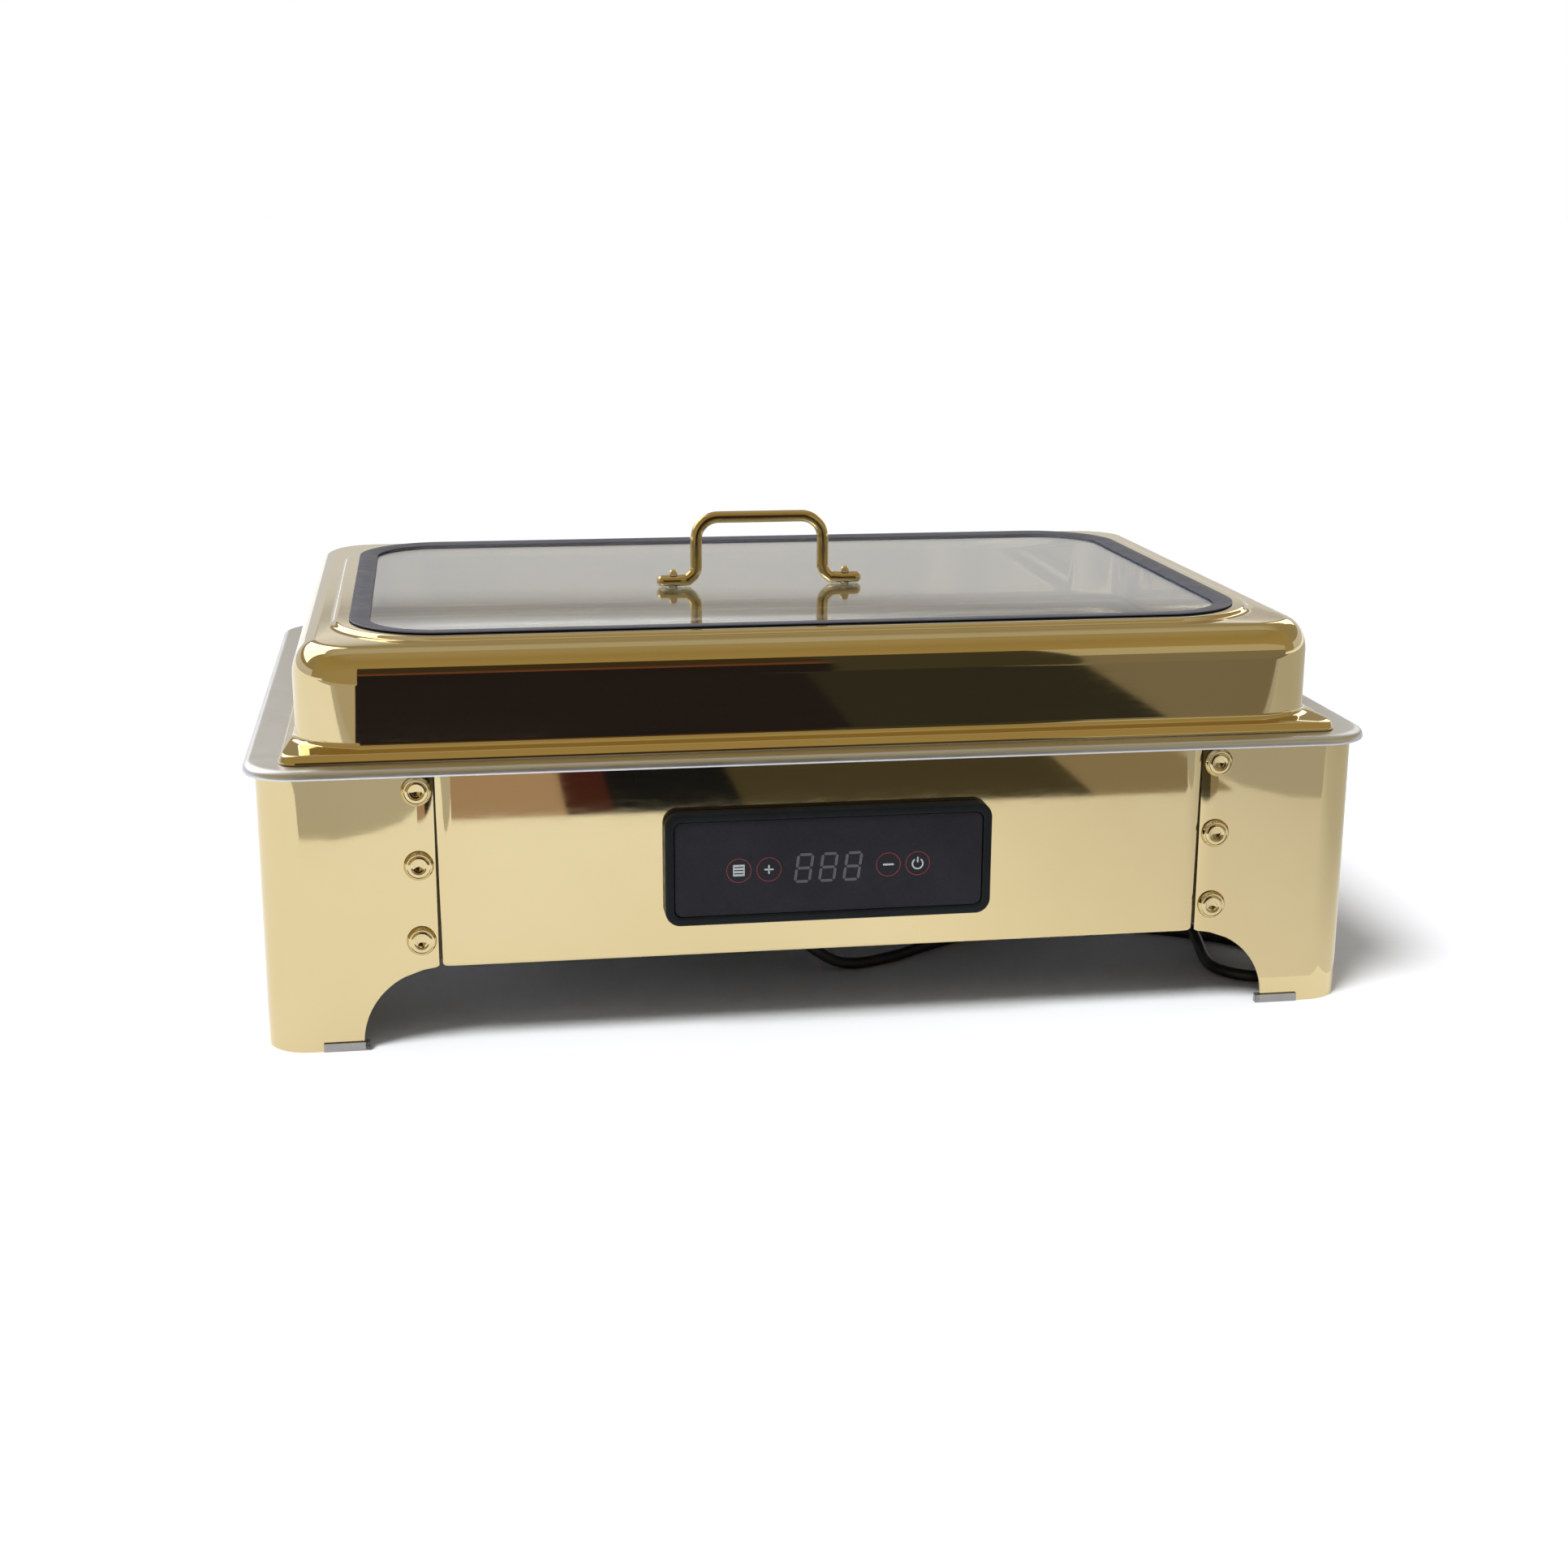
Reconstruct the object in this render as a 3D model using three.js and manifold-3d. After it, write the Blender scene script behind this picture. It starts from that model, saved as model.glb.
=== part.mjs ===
// Rectangular electric buffet chafer with a lift-off window lid.
// Millimetres, +Z up. The origin is on the table, under the middle of the body; the front faces -Y.

import * as THREE from 'three';
import { mergeVertices } from 'three/addons/utils/BufferGeometryUtils.js';
import { ParametricGeometry } from 'three/addons/geometries/ParametricGeometry.js';
import Module from 'manifold-3d';

const wasm = await Module();
wasm.setup();

// ---------------------------------------------------------------- driving dimensions

const gap = 0.3;                 // clearance left between touching pieces
const sheet = 1.5;               // body sheet thickness
const pressed = 1.2;             // thickness of the pans and the lid

const bodyHalfX = 294.2;
const bodyHalfY = 198;
const bodyCorner = 22;           // outer radius of the four corners
const bodyTop = 150.9;
const panelBottom = 43.3;        // clear height under the panels

const seamX = 204.5;             // where a front panel meets a leg sheet
const seamY = 108;               // where a side panel meets a leg sheet
const archRadius = 40;           // quarter arch between a foot and its panel
const tabWidth = 22;             // panel edge tucked behind a leg sheet

const screwHeights = [58.5, 99, 138.5];
const screwInset = 8.5;          // from the seam to a screw's axis
const screwHeadRadius = 7.7;
const shankRadius = 2;
const shankHoleRadius = 2.4;

const rimHalfX = 300;
const rimHalfY = 206;
const rimTop = 152.5;
const lipDrop = 5;
const basinFloor = 64;           // top of the water pan's floor
const ledgeTop = 149.5;          // where the food pan's flange sits
const foodFloor = 86;

const lidHalfX = 274.5;
const lidHalfY = 187;
const lidBottom = rimTop + gap;
const lidTop = 209.5;
const plateauTop = 211.7;
const windowHalfX = 241;
const windowHalfY = 153.5;

const handleX = -11;             // middle of the handle on the window
const handleY = -24;
const legSpacing = 37.5;         // half the distance between the handle's uprights
const studSpacing = 51;          // half the distance between its two studs
const studRadius = 2;
const rodRadius = 3.4;
const handleTop = 254.5;

const panelFront = -bodyHalfY;   // face of the front panel
const controlHalfX = 87;
const controlHalfZ = 30.5;
const controlZ = 92.4;
const bezelDepth = 7.4;

const cordRadius = 3.25;
const cordLength = 1450;

// ---------------------------------------------------------------- materials

const finish = (color, roughness, metalness) =>
  new THREE.MeshStandardMaterial({ color, roughness, metalness });

const gold = finish(0xd9c48f, 0.08, 1);
const steel = finish(0xd8d8da, 0.18, 1);
const darkSteel = finish(0x8d8d8f, 0.45, 1);
const rubber = finish(0x4a4f63, 0.6, 0);
const glass = finish(0xdfe6e6, 0.05, 0);
glass.transparent = true;
glass.opacity = 0.3;
const blackPlastic = finish(0x1d1e22, 0.35, 0);
const blackGlass = finish(0x15161a, 0.1, 0);
const circuitGreen = finish(0x24552f, 0.6, 0);
const cordBlack = finish(0x101012, 0.5, 0);

// ---------------------------------------------------------------- solids

// Turns a closed three.js geometry into a solid with its faces pointing out.
function solid(geometry) {
  geometry.deleteAttribute('normal');
  geometry.deleteAttribute('uv');
  const merged = mergeVertices(geometry, 1e-4);
  const vertProperties = new Float32Array(merged.attributes.position.array);
  const index = merged.index.array;
  const point = (i) => new THREE.Vector3().fromArray(vertProperties, 3 * i);
  const faces = [];
  let volume = 0;
  for (let i = 0; i < index.length; i += 3) {
    const [a, b, c] = [index[i], index[i + 1], index[i + 2]];
    if (a === b || b === c || c === a) continue;
    faces.push(a, b, c);
    volume += point(a).dot(point(b).cross(point(c)));
  }
  if (volume < 0) faces.reverse();
  const triVerts = new Uint32Array(faces);
  return new wasm.Manifold(new wasm.Mesh({ numProp: 3, vertProperties, triVerts }));
}

const union = (first, ...others) => others.reduce((sum, next) => sum.add(next), first);

function box(x0, x1, y0, y1, z0, z1) {
  const geometry = new THREE.BoxGeometry(x1 - x0, y1 - y0, z1 - z0);
  return solid(geometry.translate((x0 + x1) / 2, (y0 + y1) / 2, (z0 + z1) / 2));
}

function roundedRect(halfX, halfY, radius, centreX = 0, centreY = 0) {
  const shape = new THREE.Shape();
  const [x, y] = [halfX - radius, halfY - radius];
  shape.absarc(centreX + x, centreY + y, radius, 0, Math.PI / 2);
  shape.absarc(centreX - x, centreY + y, radius, Math.PI / 2, Math.PI);
  shape.absarc(centreX - x, centreY - y, radius, Math.PI, 1.5 * Math.PI);
  shape.absarc(centreX + x, centreY - y, radius, 1.5 * Math.PI, 2 * Math.PI);
  return shape;
}

const circle = (x, y, radius) => new THREE.Shape().absarc(x, y, radius, 0, 2 * Math.PI);

const polygon = (points) => new THREE.Shape(points.map(([x, y]) => new THREE.Vector2(x, y)));

// Straight steps in a quarter turn. three.js draws an arc with two steps for each of its
// curveSegments, so half this number keeps extruded and pressed corners parallel.
const cornerSteps = 6;

// A flat shape drawn in X and Y, as thick as z0 to z1.
function slab(shape, z0, z1, curveSegments = cornerSteps / 2) {
  const options = { depth: z1 - z0, bevelEnabled: false, curveSegments };
  return solid(new THREE.ExtrudeGeometry(shape, options).translate(0, 0, z0));
}

// A flat shape drawn in X and Z, as thick as y0 to y1.
function upright(shape, y0, y1, curveSegments = cornerSteps / 2) {
  const options = { depth: y1 - y0, bevelEnabled: false, curveSegments };
  const geometry = new THREE.ExtrudeGeometry(shape, options);
  return solid(geometry.rotateX(Math.PI / 2).translate(0, y1, 0));
}

// A profile of [radius, height] turned about Z.
function turned(profile, segments = 12) {
  const points = profile.map(([r, z]) => new THREE.Vector2(r, z));
  return solid(new THREE.LatheGeometry(points, segments).rotateX(Math.PI / 2));
}

// Point number j of a rounded rectangle that is walked corner by corner.
function rimPoint([halfX, halfY, radius, z], j, target) {
  const corner = Math.floor(j / (cornerSteps + 1));
  const angle = (corner + (j % (cornerSteps + 1)) / cornerSteps) * (Math.PI / 2);
  const signX = corner === 0 || corner === 3 ? 1 : -1;
  const signY = corner < 2 ? 1 : -1;
  const x = signX * (halfX - radius) + radius * Math.cos(angle);
  const y = signY * (halfY - radius) + radius * Math.sin(angle);
  return target.set(x, y, z);
}

// A pressed shell: rounded rectangles [halfX, halfY, radius, z] joined one after the other.
// The last joins the first, so a shell without a hole starts and ends on the axis.
function pressing(sections) {
  const points = 4 * (cornerSteps + 1);
  const surface = (u, v, target) => {
    const section = sections[Math.round(u * sections.length) % sections.length];
    return rimPoint(section, Math.round(v * points) % points, target);
  };
  return solid(new ParametricGeometry(surface, sections.length, points));
}

// The same rounded rectangle, grown outwards by `out`, at height z.
const grown = ([halfX, halfY, radius], out, z) => [halfX + out, halfY + out, radius + out, z];

const axisPoint = (z) => [0, 0, 0, z];

// A round rod along a curve.
function rod(curve, radius, steps, sides = 10) {
  const section = new THREE.Shape();
  for (let i = 0; i < sides; i += 1) {
    const angle = (2 * Math.PI * i) / sides;
    const [x, y] = [radius * Math.cos(angle), radius * Math.sin(angle)];
    if (i === 0) section.moveTo(x, y);
    else section.lineTo(x, y);
  }
  return solid(new THREE.ExtrudeGeometry(section, { steps, extrudePath: curve, bevelEnabled: false }));
}

// ---------------------------------------------------------------- assembly

const chafer = new THREE.Group();

function place(name, shape, material, position = [0, 0, 0], rotation = [0, 0, 0]) {
  const { vertProperties, triVerts } = shape.getMesh();
  const geometry = new THREE.BufferGeometry();
  geometry.setAttribute('position', new THREE.BufferAttribute(new Float32Array(vertProperties), 3));
  geometry.setIndex(new THREE.BufferAttribute(new Uint32Array(triVerts), 1));
  geometry.computeVertexNormals();
  const mesh = new THREE.Mesh(geometry, material);
  mesh.name = name;
  mesh.position.set(...position);
  mesh.rotation.set(...rotation);
  chafer.add(mesh);
}

const corners = [
  ['front_left', -1, -1],
  ['front_right', 1, -1],
  ['back_left', -1, 1],
  ['back_right', 1, 1],
];

// ---------------------------------------------------------------- legs, panels and screws

// One corner of the body in plan, for the corner where both signs are positive.
function legOutline() {
  const [x, y] = [bodyHalfX - bodyCorner, bodyHalfY - bodyCorner];
  const outline = new THREE.Shape();
  outline.moveTo(seamX, bodyHalfY);
  outline.absarc(x, y, bodyCorner, Math.PI / 2, 0, true);
  outline.lineTo(bodyHalfX, seamY);
  outline.lineTo(bodyHalfX - sheet, seamY);
  outline.absarc(x, y, bodyCorner - sheet, 0, Math.PI / 2, false);
  outline.lineTo(seamX, bodyHalfY - sheet);
  return outline;
}

// What is cut away under a leg sheet between its foot and its seam, drawn along the sheet.
function archOutline(seam) {
  const arch = new THREE.Shape();
  const spring = panelBottom - archRadius;
  arch.moveTo(seam - 2, -1);
  arch.lineTo(seam + archRadius, -1);
  arch.absarc(seam, spring, archRadius, 0, Math.PI / 2, false);
  arch.lineTo(seam - 2, panelBottom);
  return arch;
}

// Shank holes for the screws that stand `at` along a sheet, drawn along the sheet.
const shankHoles = (at) => screwHeights.map((z) => circle(at, z, shankHoleRadius));

const footEnd = seamX + archRadius;      // inner end of a foot on the front or back face
const clipEnd = footEnd + 20.8;
const clipSole = 1;

function legSheet(signX, signY) {
  let leg = slab(legOutline(), 0, bodyTop);
  leg = leg.subtract(upright(archOutline(seamX), bodyHalfY - 10, bodyHalfY + 5, 4));
  const sideArch = upright(archOutline(seamY), -bodyHalfX - 5, -bodyHalfX + 10, 4);
  leg = leg.subtract(sideArch.rotate([0, 0, 90]));
  leg = leg.subtract(box(footEnd - 1, clipEnd + gap, bodyHalfY - 5, bodyHalfY + 5, -1, clipSole + gap));
  for (const hole of shankHoles(seamX + screwInset)) {
    leg = leg.subtract(upright(hole, bodyHalfY - 5, bodyHalfY + 5, 5));
  }
  for (const hole of shankHoles(seamY + screwInset)) {
    leg = leg.subtract(upright(hole, -bodyHalfX - 5, -bodyHalfX + 5, 5).rotate([0, 0, 90]));
  }
  return leg.scale([signX, signY, 1]);
}

for (const [side, signX, signY] of corners) {
  place(`leg_${side}`, legSheet(signX, signY), gold);
}

// Steel glide folded over the inner end of each foot on the front and back faces.
function footClip(signX, signY) {
  const outer = box(footEnd - 3, clipEnd, bodyHalfY - 2.6, bodyHalfY + 1.1, 0, 4.8);
  const slot = box(footEnd - gap, clipEnd + 5, bodyHalfY - sheet - gap, bodyHalfY + gap, clipSole, 9);
  return outer.subtract(slot).scale([signX, signY, 1]);
}

for (const [side, signX, signY] of corners) {
  place(`foot_clip_${side}`, footClip(signX, signY), steel);
}

// A panel that faces +Y: its ends step back and run behind the leg sheets.
function panelSheet(halfLength, distance) {
  const end = halfLength - gap;
  const behind = distance - sheet - gap;
  const half = [
    [end, distance],
    [end, behind],
    [end + tabWidth, behind],
    [end + tabWidth, behind - sheet],
    [end - 4, behind - sheet],
    [end - 4, distance - sheet],
  ];
  const mirrored = half.map(([x, y]) => [-x, y]).reverse();
  const sheetSolid = slab(polygon([...half, ...mirrored]), panelBottom, bodyTop);
  const hem = box(-end, end, distance - 9, distance, panelBottom, panelBottom + sheet);
  let panel = sheetSolid.add(hem);
  for (const sign of [-1, 1]) {
    for (const hole of shankHoles(sign * (halfLength + screwInset))) {
      panel = panel.subtract(upright(hole, distance - 8, distance + 5, 5));
    }
  }
  return panel;
}

const displayWindow = upright(
  roundedRect(controlHalfX - 9, controlHalfZ - 9, 3, 0, controlZ),
  panelFront - 5,
  panelFront + 3,
);
const frontPanel = panelSheet(seamX, bodyHalfY).rotate([0, 0, 180]).subtract(displayWindow);
place('front_panel', frontPanel, gold);
place('back_panel', panelSheet(seamX, bodyHalfY), gold);
place('left_panel', panelSheet(seamY, bodyHalfX).rotate([0, 0, 90]), gold);
place('right_panel', panelSheet(seamY, bodyHalfX).rotate([0, 0, -90]), gold);

// Domed socket screw that points out along +Z, with the sheet's face at its origin.
const screw = turned([
  [0, -8],
  [shankRadius, -8],
  [shankRadius, gap],
  [screwHeadRadius, gap],
  [screwHeadRadius, 1.1],
  [5.8, 3.2],
  [2.6, 3.9],
  [0, 2.2],
], 10);

for (const [side, signX, signY] of corners) {
  screwHeights.forEach((z, i) => {
    const faceTurn = [signY > 0 ? -Math.PI / 2 : Math.PI / 2, 0, 0];
    const facePlace = [signX * (seamX + screwInset), signY * bodyHalfY, z];
    place(`face_screw_${side}_${i + 1}`, screw, gold, facePlace, faceTurn);
    const sidePlace = [signX * bodyHalfX, signY * (seamY + screwInset), z];
    place(`side_screw_${side}_${i + 1}`, screw, gold, sidePlace, [0, (signX * Math.PI) / 2, 0]);
  });
}

// Angle ring inside the top of the sheets: it ties them together and carries the water pan.
const ringOutline = [290.5, 194.3, 18];
place('top_frame', pressing([
  grown(ringOutline, 0, 143.5),
  grown(ringOutline, 0, bodyTop),
  grown(ringOutline, -12, bodyTop),
  grown(ringOutline, -12, bodyTop - sheet),
  grown(ringOutline, -sheet, bodyTop - sheet),
  grown(ringOutline, -sheet, 143.5),
]), darkSteel);

// ---------------------------------------------------------------- pans

const rimOutline = [rimHalfX, rimHalfY, 28];
const ledgeOutline = [268, 165.5, 32];
const basinMouth = [256, 153.5, 41];
const basinFoot = [244.8, 142.3, 39];

place('water_pan', pressing([
  axisPoint(basinFloor - pressed),
  grown(basinFoot, -8.8, basinFloor - pressed),
  grown(basinFoot, -1.8, basinFloor + 1.5),
  grown(basinFoot, pressed, basinFloor + 8),
  grown(basinMouth, pressed, ledgeTop - pressed),
  grown(ledgeOutline, pressed, ledgeTop - pressed),
  grown(ledgeOutline, 3 + pressed, rimTop - pressed),
  grown(rimOutline, -2.8, rimTop - pressed),
  grown(rimOutline, -2, rimTop - 2),
  grown(rimOutline, -2, rimTop - lipDrop),
  grown(rimOutline, 0, rimTop - lipDrop),
  grown(rimOutline, 0, rimTop - 2),
  grown(rimOutline, -1.2, rimTop - 0.5),
  grown(rimOutline, -3, rimTop),
  grown(ledgeOutline, 3, rimTop),
  grown(ledgeOutline, 0, ledgeTop),
  grown(basinMouth, 0, ledgeTop),
  grown(basinFoot, 0, basinFloor + 8.5),
  grown(basinFoot, -2.8, basinFloor + 3),
  grown(basinFoot, -9.3, basinFloor),
  axisPoint(basinFloor),
]), steel);

// Full-size gastronorm food pan, 530 x 325 over its flange.
const foodFlange = [265, 162.5, 30];
const foodMouth = [249.4, 146.9, 41];
const foodFoot = [236.8, 134.3, 39];
const foodSeat = ledgeTop + gap;

place('food_pan', pressing([
  axisPoint(foodFloor - pressed),
  grown(foodFoot, -8.8, foodFloor - pressed),
  grown(foodFoot, -1.8, foodFloor + 1.5),
  grown(foodFoot, pressed, foodFloor + 8),
  grown(foodMouth, 1.4, foodSeat),
  [...foodFlange, foodSeat],
  [...foodFlange, foodSeat + pressed],
  grown(foodMouth, 1.6, foodSeat + pressed),
  grown(foodMouth, 0, foodSeat - 0.6),
  grown(foodFoot, 0, foodFloor + 8.5),
  grown(foodFoot, -2.8, foodFloor + 3),
  grown(foodFoot, -9.3, foodFloor),
  axisPoint(foodFloor),
]), steel);

// ---------------------------------------------------------------- heater under the water pan

const heaterTop = basinFloor - pressed - gap;
const plateBottom = heaterTop - 3;
place('heater_plate', slab(roundedRect(150, 90, 20), plateBottom, heaterTop), darkSteel);

// Tubular element bent to a hairpin under the plate.
function heatingElement() {
  const z = plateBottom - gap - 3;
  const [left, right, y] = [-110, 70, 45];
  const path = new THREE.CurvePath();
  const at = (x, side) => new THREE.Vector3(x, side * y, z);
  path.add(new THREE.LineCurve3(at(left, -1), at(right, -1)));
  const bend = [-60, -20, 20, 60].map((degrees) => {
    const angle = THREE.MathUtils.degToRad(degrees);
    return new THREE.Vector3(right + y * Math.cos(angle), y * Math.sin(angle), z);
  });
  path.add(new THREE.CatmullRomCurve3([at(right, -1), ...bend, at(right, 1)]));
  path.add(new THREE.LineCurve3(at(right, 1), at(left, 1)));
  return rod(path, 3, 24, 8);
}

place('heating_element', heatingElement(), darkSteel);
place('thermostat', slab(circle(0, 0, 14), plateBottom - gap - 6.5, plateBottom - gap, 8), steel);

const coverBottom = 47.5;
const coverOutline = [165, 125, 20];
place('bottom_cover', pressing([
  axisPoint(coverBottom),
  grown(coverOutline, 0, coverBottom),
  grown(coverOutline, 0, heaterTop),
  grown(coverOutline, -sheet, heaterTop),
  grown(coverOutline, -sheet, coverBottom + sheet),
  axisPoint(coverBottom + sheet),
]), darkSteel);

// ---------------------------------------------------------------- control unit

const bezelBack = panelFront - gap;
const bezelFace = bezelBack - bezelDepth;
const bezelStep = bezelFace + 4.5;

function bezelFrame(halfX, halfZ, radius, y0, y1) {
  const frame = roundedRect(controlHalfX, controlHalfZ, 8, 0, controlZ);
  frame.holes.push(roundedRect(halfX, halfZ, radius, 0, controlZ));
  return upright(frame, y0, y1);
}

place('control_bezel', union(
  bezelFrame(controlHalfX - 4.7, controlHalfZ - 4.7, 4.3, bezelFace, bezelStep),
  bezelFrame(controlHalfX - 9, controlHalfZ - 9, 3, bezelStep, bezelBack),
), blackPlastic);
place('control_glass', upright(
  roundedRect(controlHalfX - 5, controlHalfZ - 5, 4, 0, controlZ),
  bezelFace + 1.3,
  bezelStep - gap,
), blackGlass);

const housingFront = panelFront + sheet + gap;
const housingDepth = 30;
const housingHalfX = 84;
const housingHalfZ = 29;
const boardBack = housingFront + 3;

function controlHousing() {
  const back = housingFront + housingDepth;
  const outer = box(-housingHalfX, housingHalfX, housingFront, back,
    controlZ - housingHalfZ, controlZ + housingHalfZ);
  const hollow = box(sheet - housingHalfX, housingHalfX - sheet, housingFront - 5, back - sheet,
    controlZ - housingHalfZ + sheet, controlZ + housingHalfZ - sheet);
  const posts = [-1, 1].map((side) => box(side * 70 - 3, side * 70 + 3, boardBack + gap, back - 1,
    controlZ - 3, controlZ + 3));
  return union(outer.subtract(hollow), ...posts);
}

place('control_housing', controlHousing(), blackPlastic);
place('control_board',
  upright(roundedRect(76, 20, 2, 0, controlZ), boardBack - 1.6, boardBack), circuitGreen);

// ---------------------------------------------------------------- lid

const wall = [lidHalfX, lidHalfY, 36];
const shoulderX = 13;            // how far the shoulder reaches in from the wall
const shoulderZ = 18;            // how far it drops from the lid's top
const shoulderSteps = 5;

// The shoulder between the wall and the lid's top, for a skin that lies `inside` the outer face.
function shoulder(inside) {
  const sections = [];
  for (let i = 0; i <= shoulderSteps; i += 1) {
    const angle = (i / shoulderSteps) * (Math.PI / 2);
    const inward = inside + (shoulderX - inside) * (1 - Math.cos(angle));
    const rise = (shoulderZ - inside) * Math.sin(angle);
    sections.push(grown(wall, -inward, lidTop - shoulderZ + rise));
  }
  return sections;
}

const flange = [281.5, 194, 9];
const plateau = [252, 164.5, 58];
const lidWindow = [windowHalfX, windowHalfY, 45];

place('lid_shell', pressing([
  grown(flange, 0, lidBottom),
  grown(flange, 0, lidBottom + 4.2),
  grown(flange, -1.2, lidBottom + 5.4),
  grown(wall, 2.2, lidBottom + 6),
  grown(wall, 0.6, lidBottom + 7),
  grown(wall, 0, lidBottom + 9),
  ...shoulder(0),
  grown(plateau, 4, lidTop),
  grown(plateau, 2.8, lidTop + 0.8),
  grown(plateau, 1.5, plateauTop - 0.2),
  grown(plateau, 0, plateauTop),
  [...lidWindow, plateauTop],
  [...lidWindow, plateauTop - pressed],
  grown(plateau, 0.6, plateauTop - pressed),
  grown(plateau, 3.4, lidTop - pressed),
  ...shoulder(pressed).reverse(),
  grown(wall, -pressed, lidBottom + 7.6),
  grown(wall, 1.6, lidBottom + 4.6),
  grown(flange, -1.6, lidBottom + 4),
  grown(flange, -1.6, lidBottom),
]), gold);

// Gasket that grips the lid's edge in its outer groove and the window, lower down, in its inner one.
const sealOutside = [246, 158.5, 50];
const sealInside = [235, 147.5, 38];
const glassEdge = [239, 151.5, 42];
const lipBottom = plateauTop + gap;
const lipTop = lipBottom + 0.8;
const underSheet = plateauTop - pressed - gap;
const glassTop = 210.8;
const glassBottom = glassTop - 5.2;
const footLip = glassBottom - gap;

place('window_seal', pressing([
  [...sealOutside, lipBottom],
  [...sealOutside, lipTop],
  [...lidWindow, lipTop],
  [...sealInside, glassTop + gap + 0.9],
  [...sealInside, glassTop + gap],
  grown(glassEdge, gap, glassTop + gap),
  grown(glassEdge, gap, footLip),
  [...sealInside, footLip],
  [...sealInside, footLip - 0.8],
  [...lidWindow, footLip - 0.8],
  [...sealOutside, underSheet - 0.8],
  [...sealOutside, underSheet],
  grown(lidWindow, -gap, underSheet),
  grown(lidWindow, -gap, lipBottom),
]), rubber);

const studPlaces = [-1, 1].map((side) => [handleX + side * studSpacing, handleY]);

function windowGlass() {
  let pane = slab(roundedRect(...glassEdge), glassBottom, glassTop);
  for (const [x, y] of studPlaces) {
    pane = pane.subtract(slab(circle(x, y, studRadius + 0.5), glassBottom - 1, glassTop + 1, 6));
  }
  return pane;
}

place('window_glass', windowGlass(), glass);

// ---------------------------------------------------------------- handle

const footBottom = glassTop + gap;
const footTop = footBottom + 6.4;
const barZ = handleTop - rodRadius;

// The bent rod between its two feet, in the plane of the handle.
function handlePath() {
  const footZ = footBottom + rodRadius;
  const lowBend = 8;
  const highBend = 13;
  const path = new THREE.CurvePath();
  const at = (x, z) => new THREE.Vector3(handleX + x, handleY, z);
  const curve = (from, by, to) => path.add(new THREE.QuadraticBezierCurve3(from, by, to));
  const line = (from, to) => path.add(new THREE.LineCurve3(from, to));
  const leg = legSpacing;
  line(at(-leg - lowBend - 1.5, footZ), at(-leg - lowBend, footZ));
  curve(at(-leg - lowBend, footZ), at(-leg, footZ), at(-leg, footZ + lowBend));
  line(at(-leg, footZ + lowBend), at(-leg, barZ - highBend));
  curve(at(-leg, barZ - highBend), at(-leg, barZ), at(-leg + highBend, barZ));
  line(at(-leg + highBend, barZ), at(leg - highBend, barZ));
  curve(at(leg - highBend, barZ), at(leg, barZ), at(leg, barZ - highBend));
  line(at(leg, barZ - highBend), at(leg, footZ + lowBend));
  curve(at(leg, footZ + lowBend), at(leg, footZ), at(leg + lowBend, footZ));
  line(at(leg + lowBend, footZ), at(leg + lowBend + 1.5, footZ));
  return path;
}

function handleRod() {
  let shape = rod(handlePath(), rodRadius, 48);
  for (const [x, y] of studPlaces) {
    const outline = roundedRect(9.5, 4.2, 4.1, x, y);
    shape = shape.add(slab(outline, footBottom, footTop));
  }
  for (const [x, y] of studPlaces) {
    shape = shape.subtract(slab(circle(x, y, studRadius + 0.4), footBottom - 1, footTop + 1, 6));
  }
  return shape;
}

place('handle_rod', handleRod(), gold);

const domeNut = turned([
  [0, gap],
  [2.6, gap],
  [2.6, 1.4],
  [2.1, 2.6],
  [1.1, 3.3],
  [0, 3.5],
]);
const handleScrew = turned([
  [0, footLip - 3],
  [5, footLip - 3],
  [5, footLip],
  [studRadius, footLip],
  [studRadius, footTop],
  [0, footTop],
]);

studPlaces.forEach(([x, y], i) => {
  const side = ['left', 'right'][i];
  place(`handle_nut_${side}`, domeNut, gold, [x, y, footTop]);
  place(`handle_screw_${side}`, handleScrew, steel, [x, y, 0]);
});

// ---------------------------------------------------------------- mains cord

// Tapered sleeve out of the underside of the bottom cover, towards +X and down.
const cordStart = new THREE.Vector3(-15, -112, 32.7);
const cordSlope = THREE.MathUtils.degToRad(40);
const reliefLength = 32;

function strainRelief() {
  const sleeve = turned([
    [0, gap],
    [4.6, gap],
    [5, 4],
    [7, 24],
    [7, reliefLength],
    [0, reliefLength],
  ]);
  const placed = sleeve.rotate([0, -(Math.PI / 2 - cordSlope) * (180 / Math.PI), 0])
    .translate(cordStart.toArray());
  return placed.subtract(box(-200, 200, -300, 0, coverBottom - gap, 200));
}

place('cord_strain_relief', strainRelief(), cordBlack);

const onTable = cordRadius + 0.1;
const coilRadius = 39;           // middle of the coil's turns
const coilX = 150;
const coilY = 37;
const coilBand = 2 * cordRadius; // half the width of two turns side by side

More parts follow.
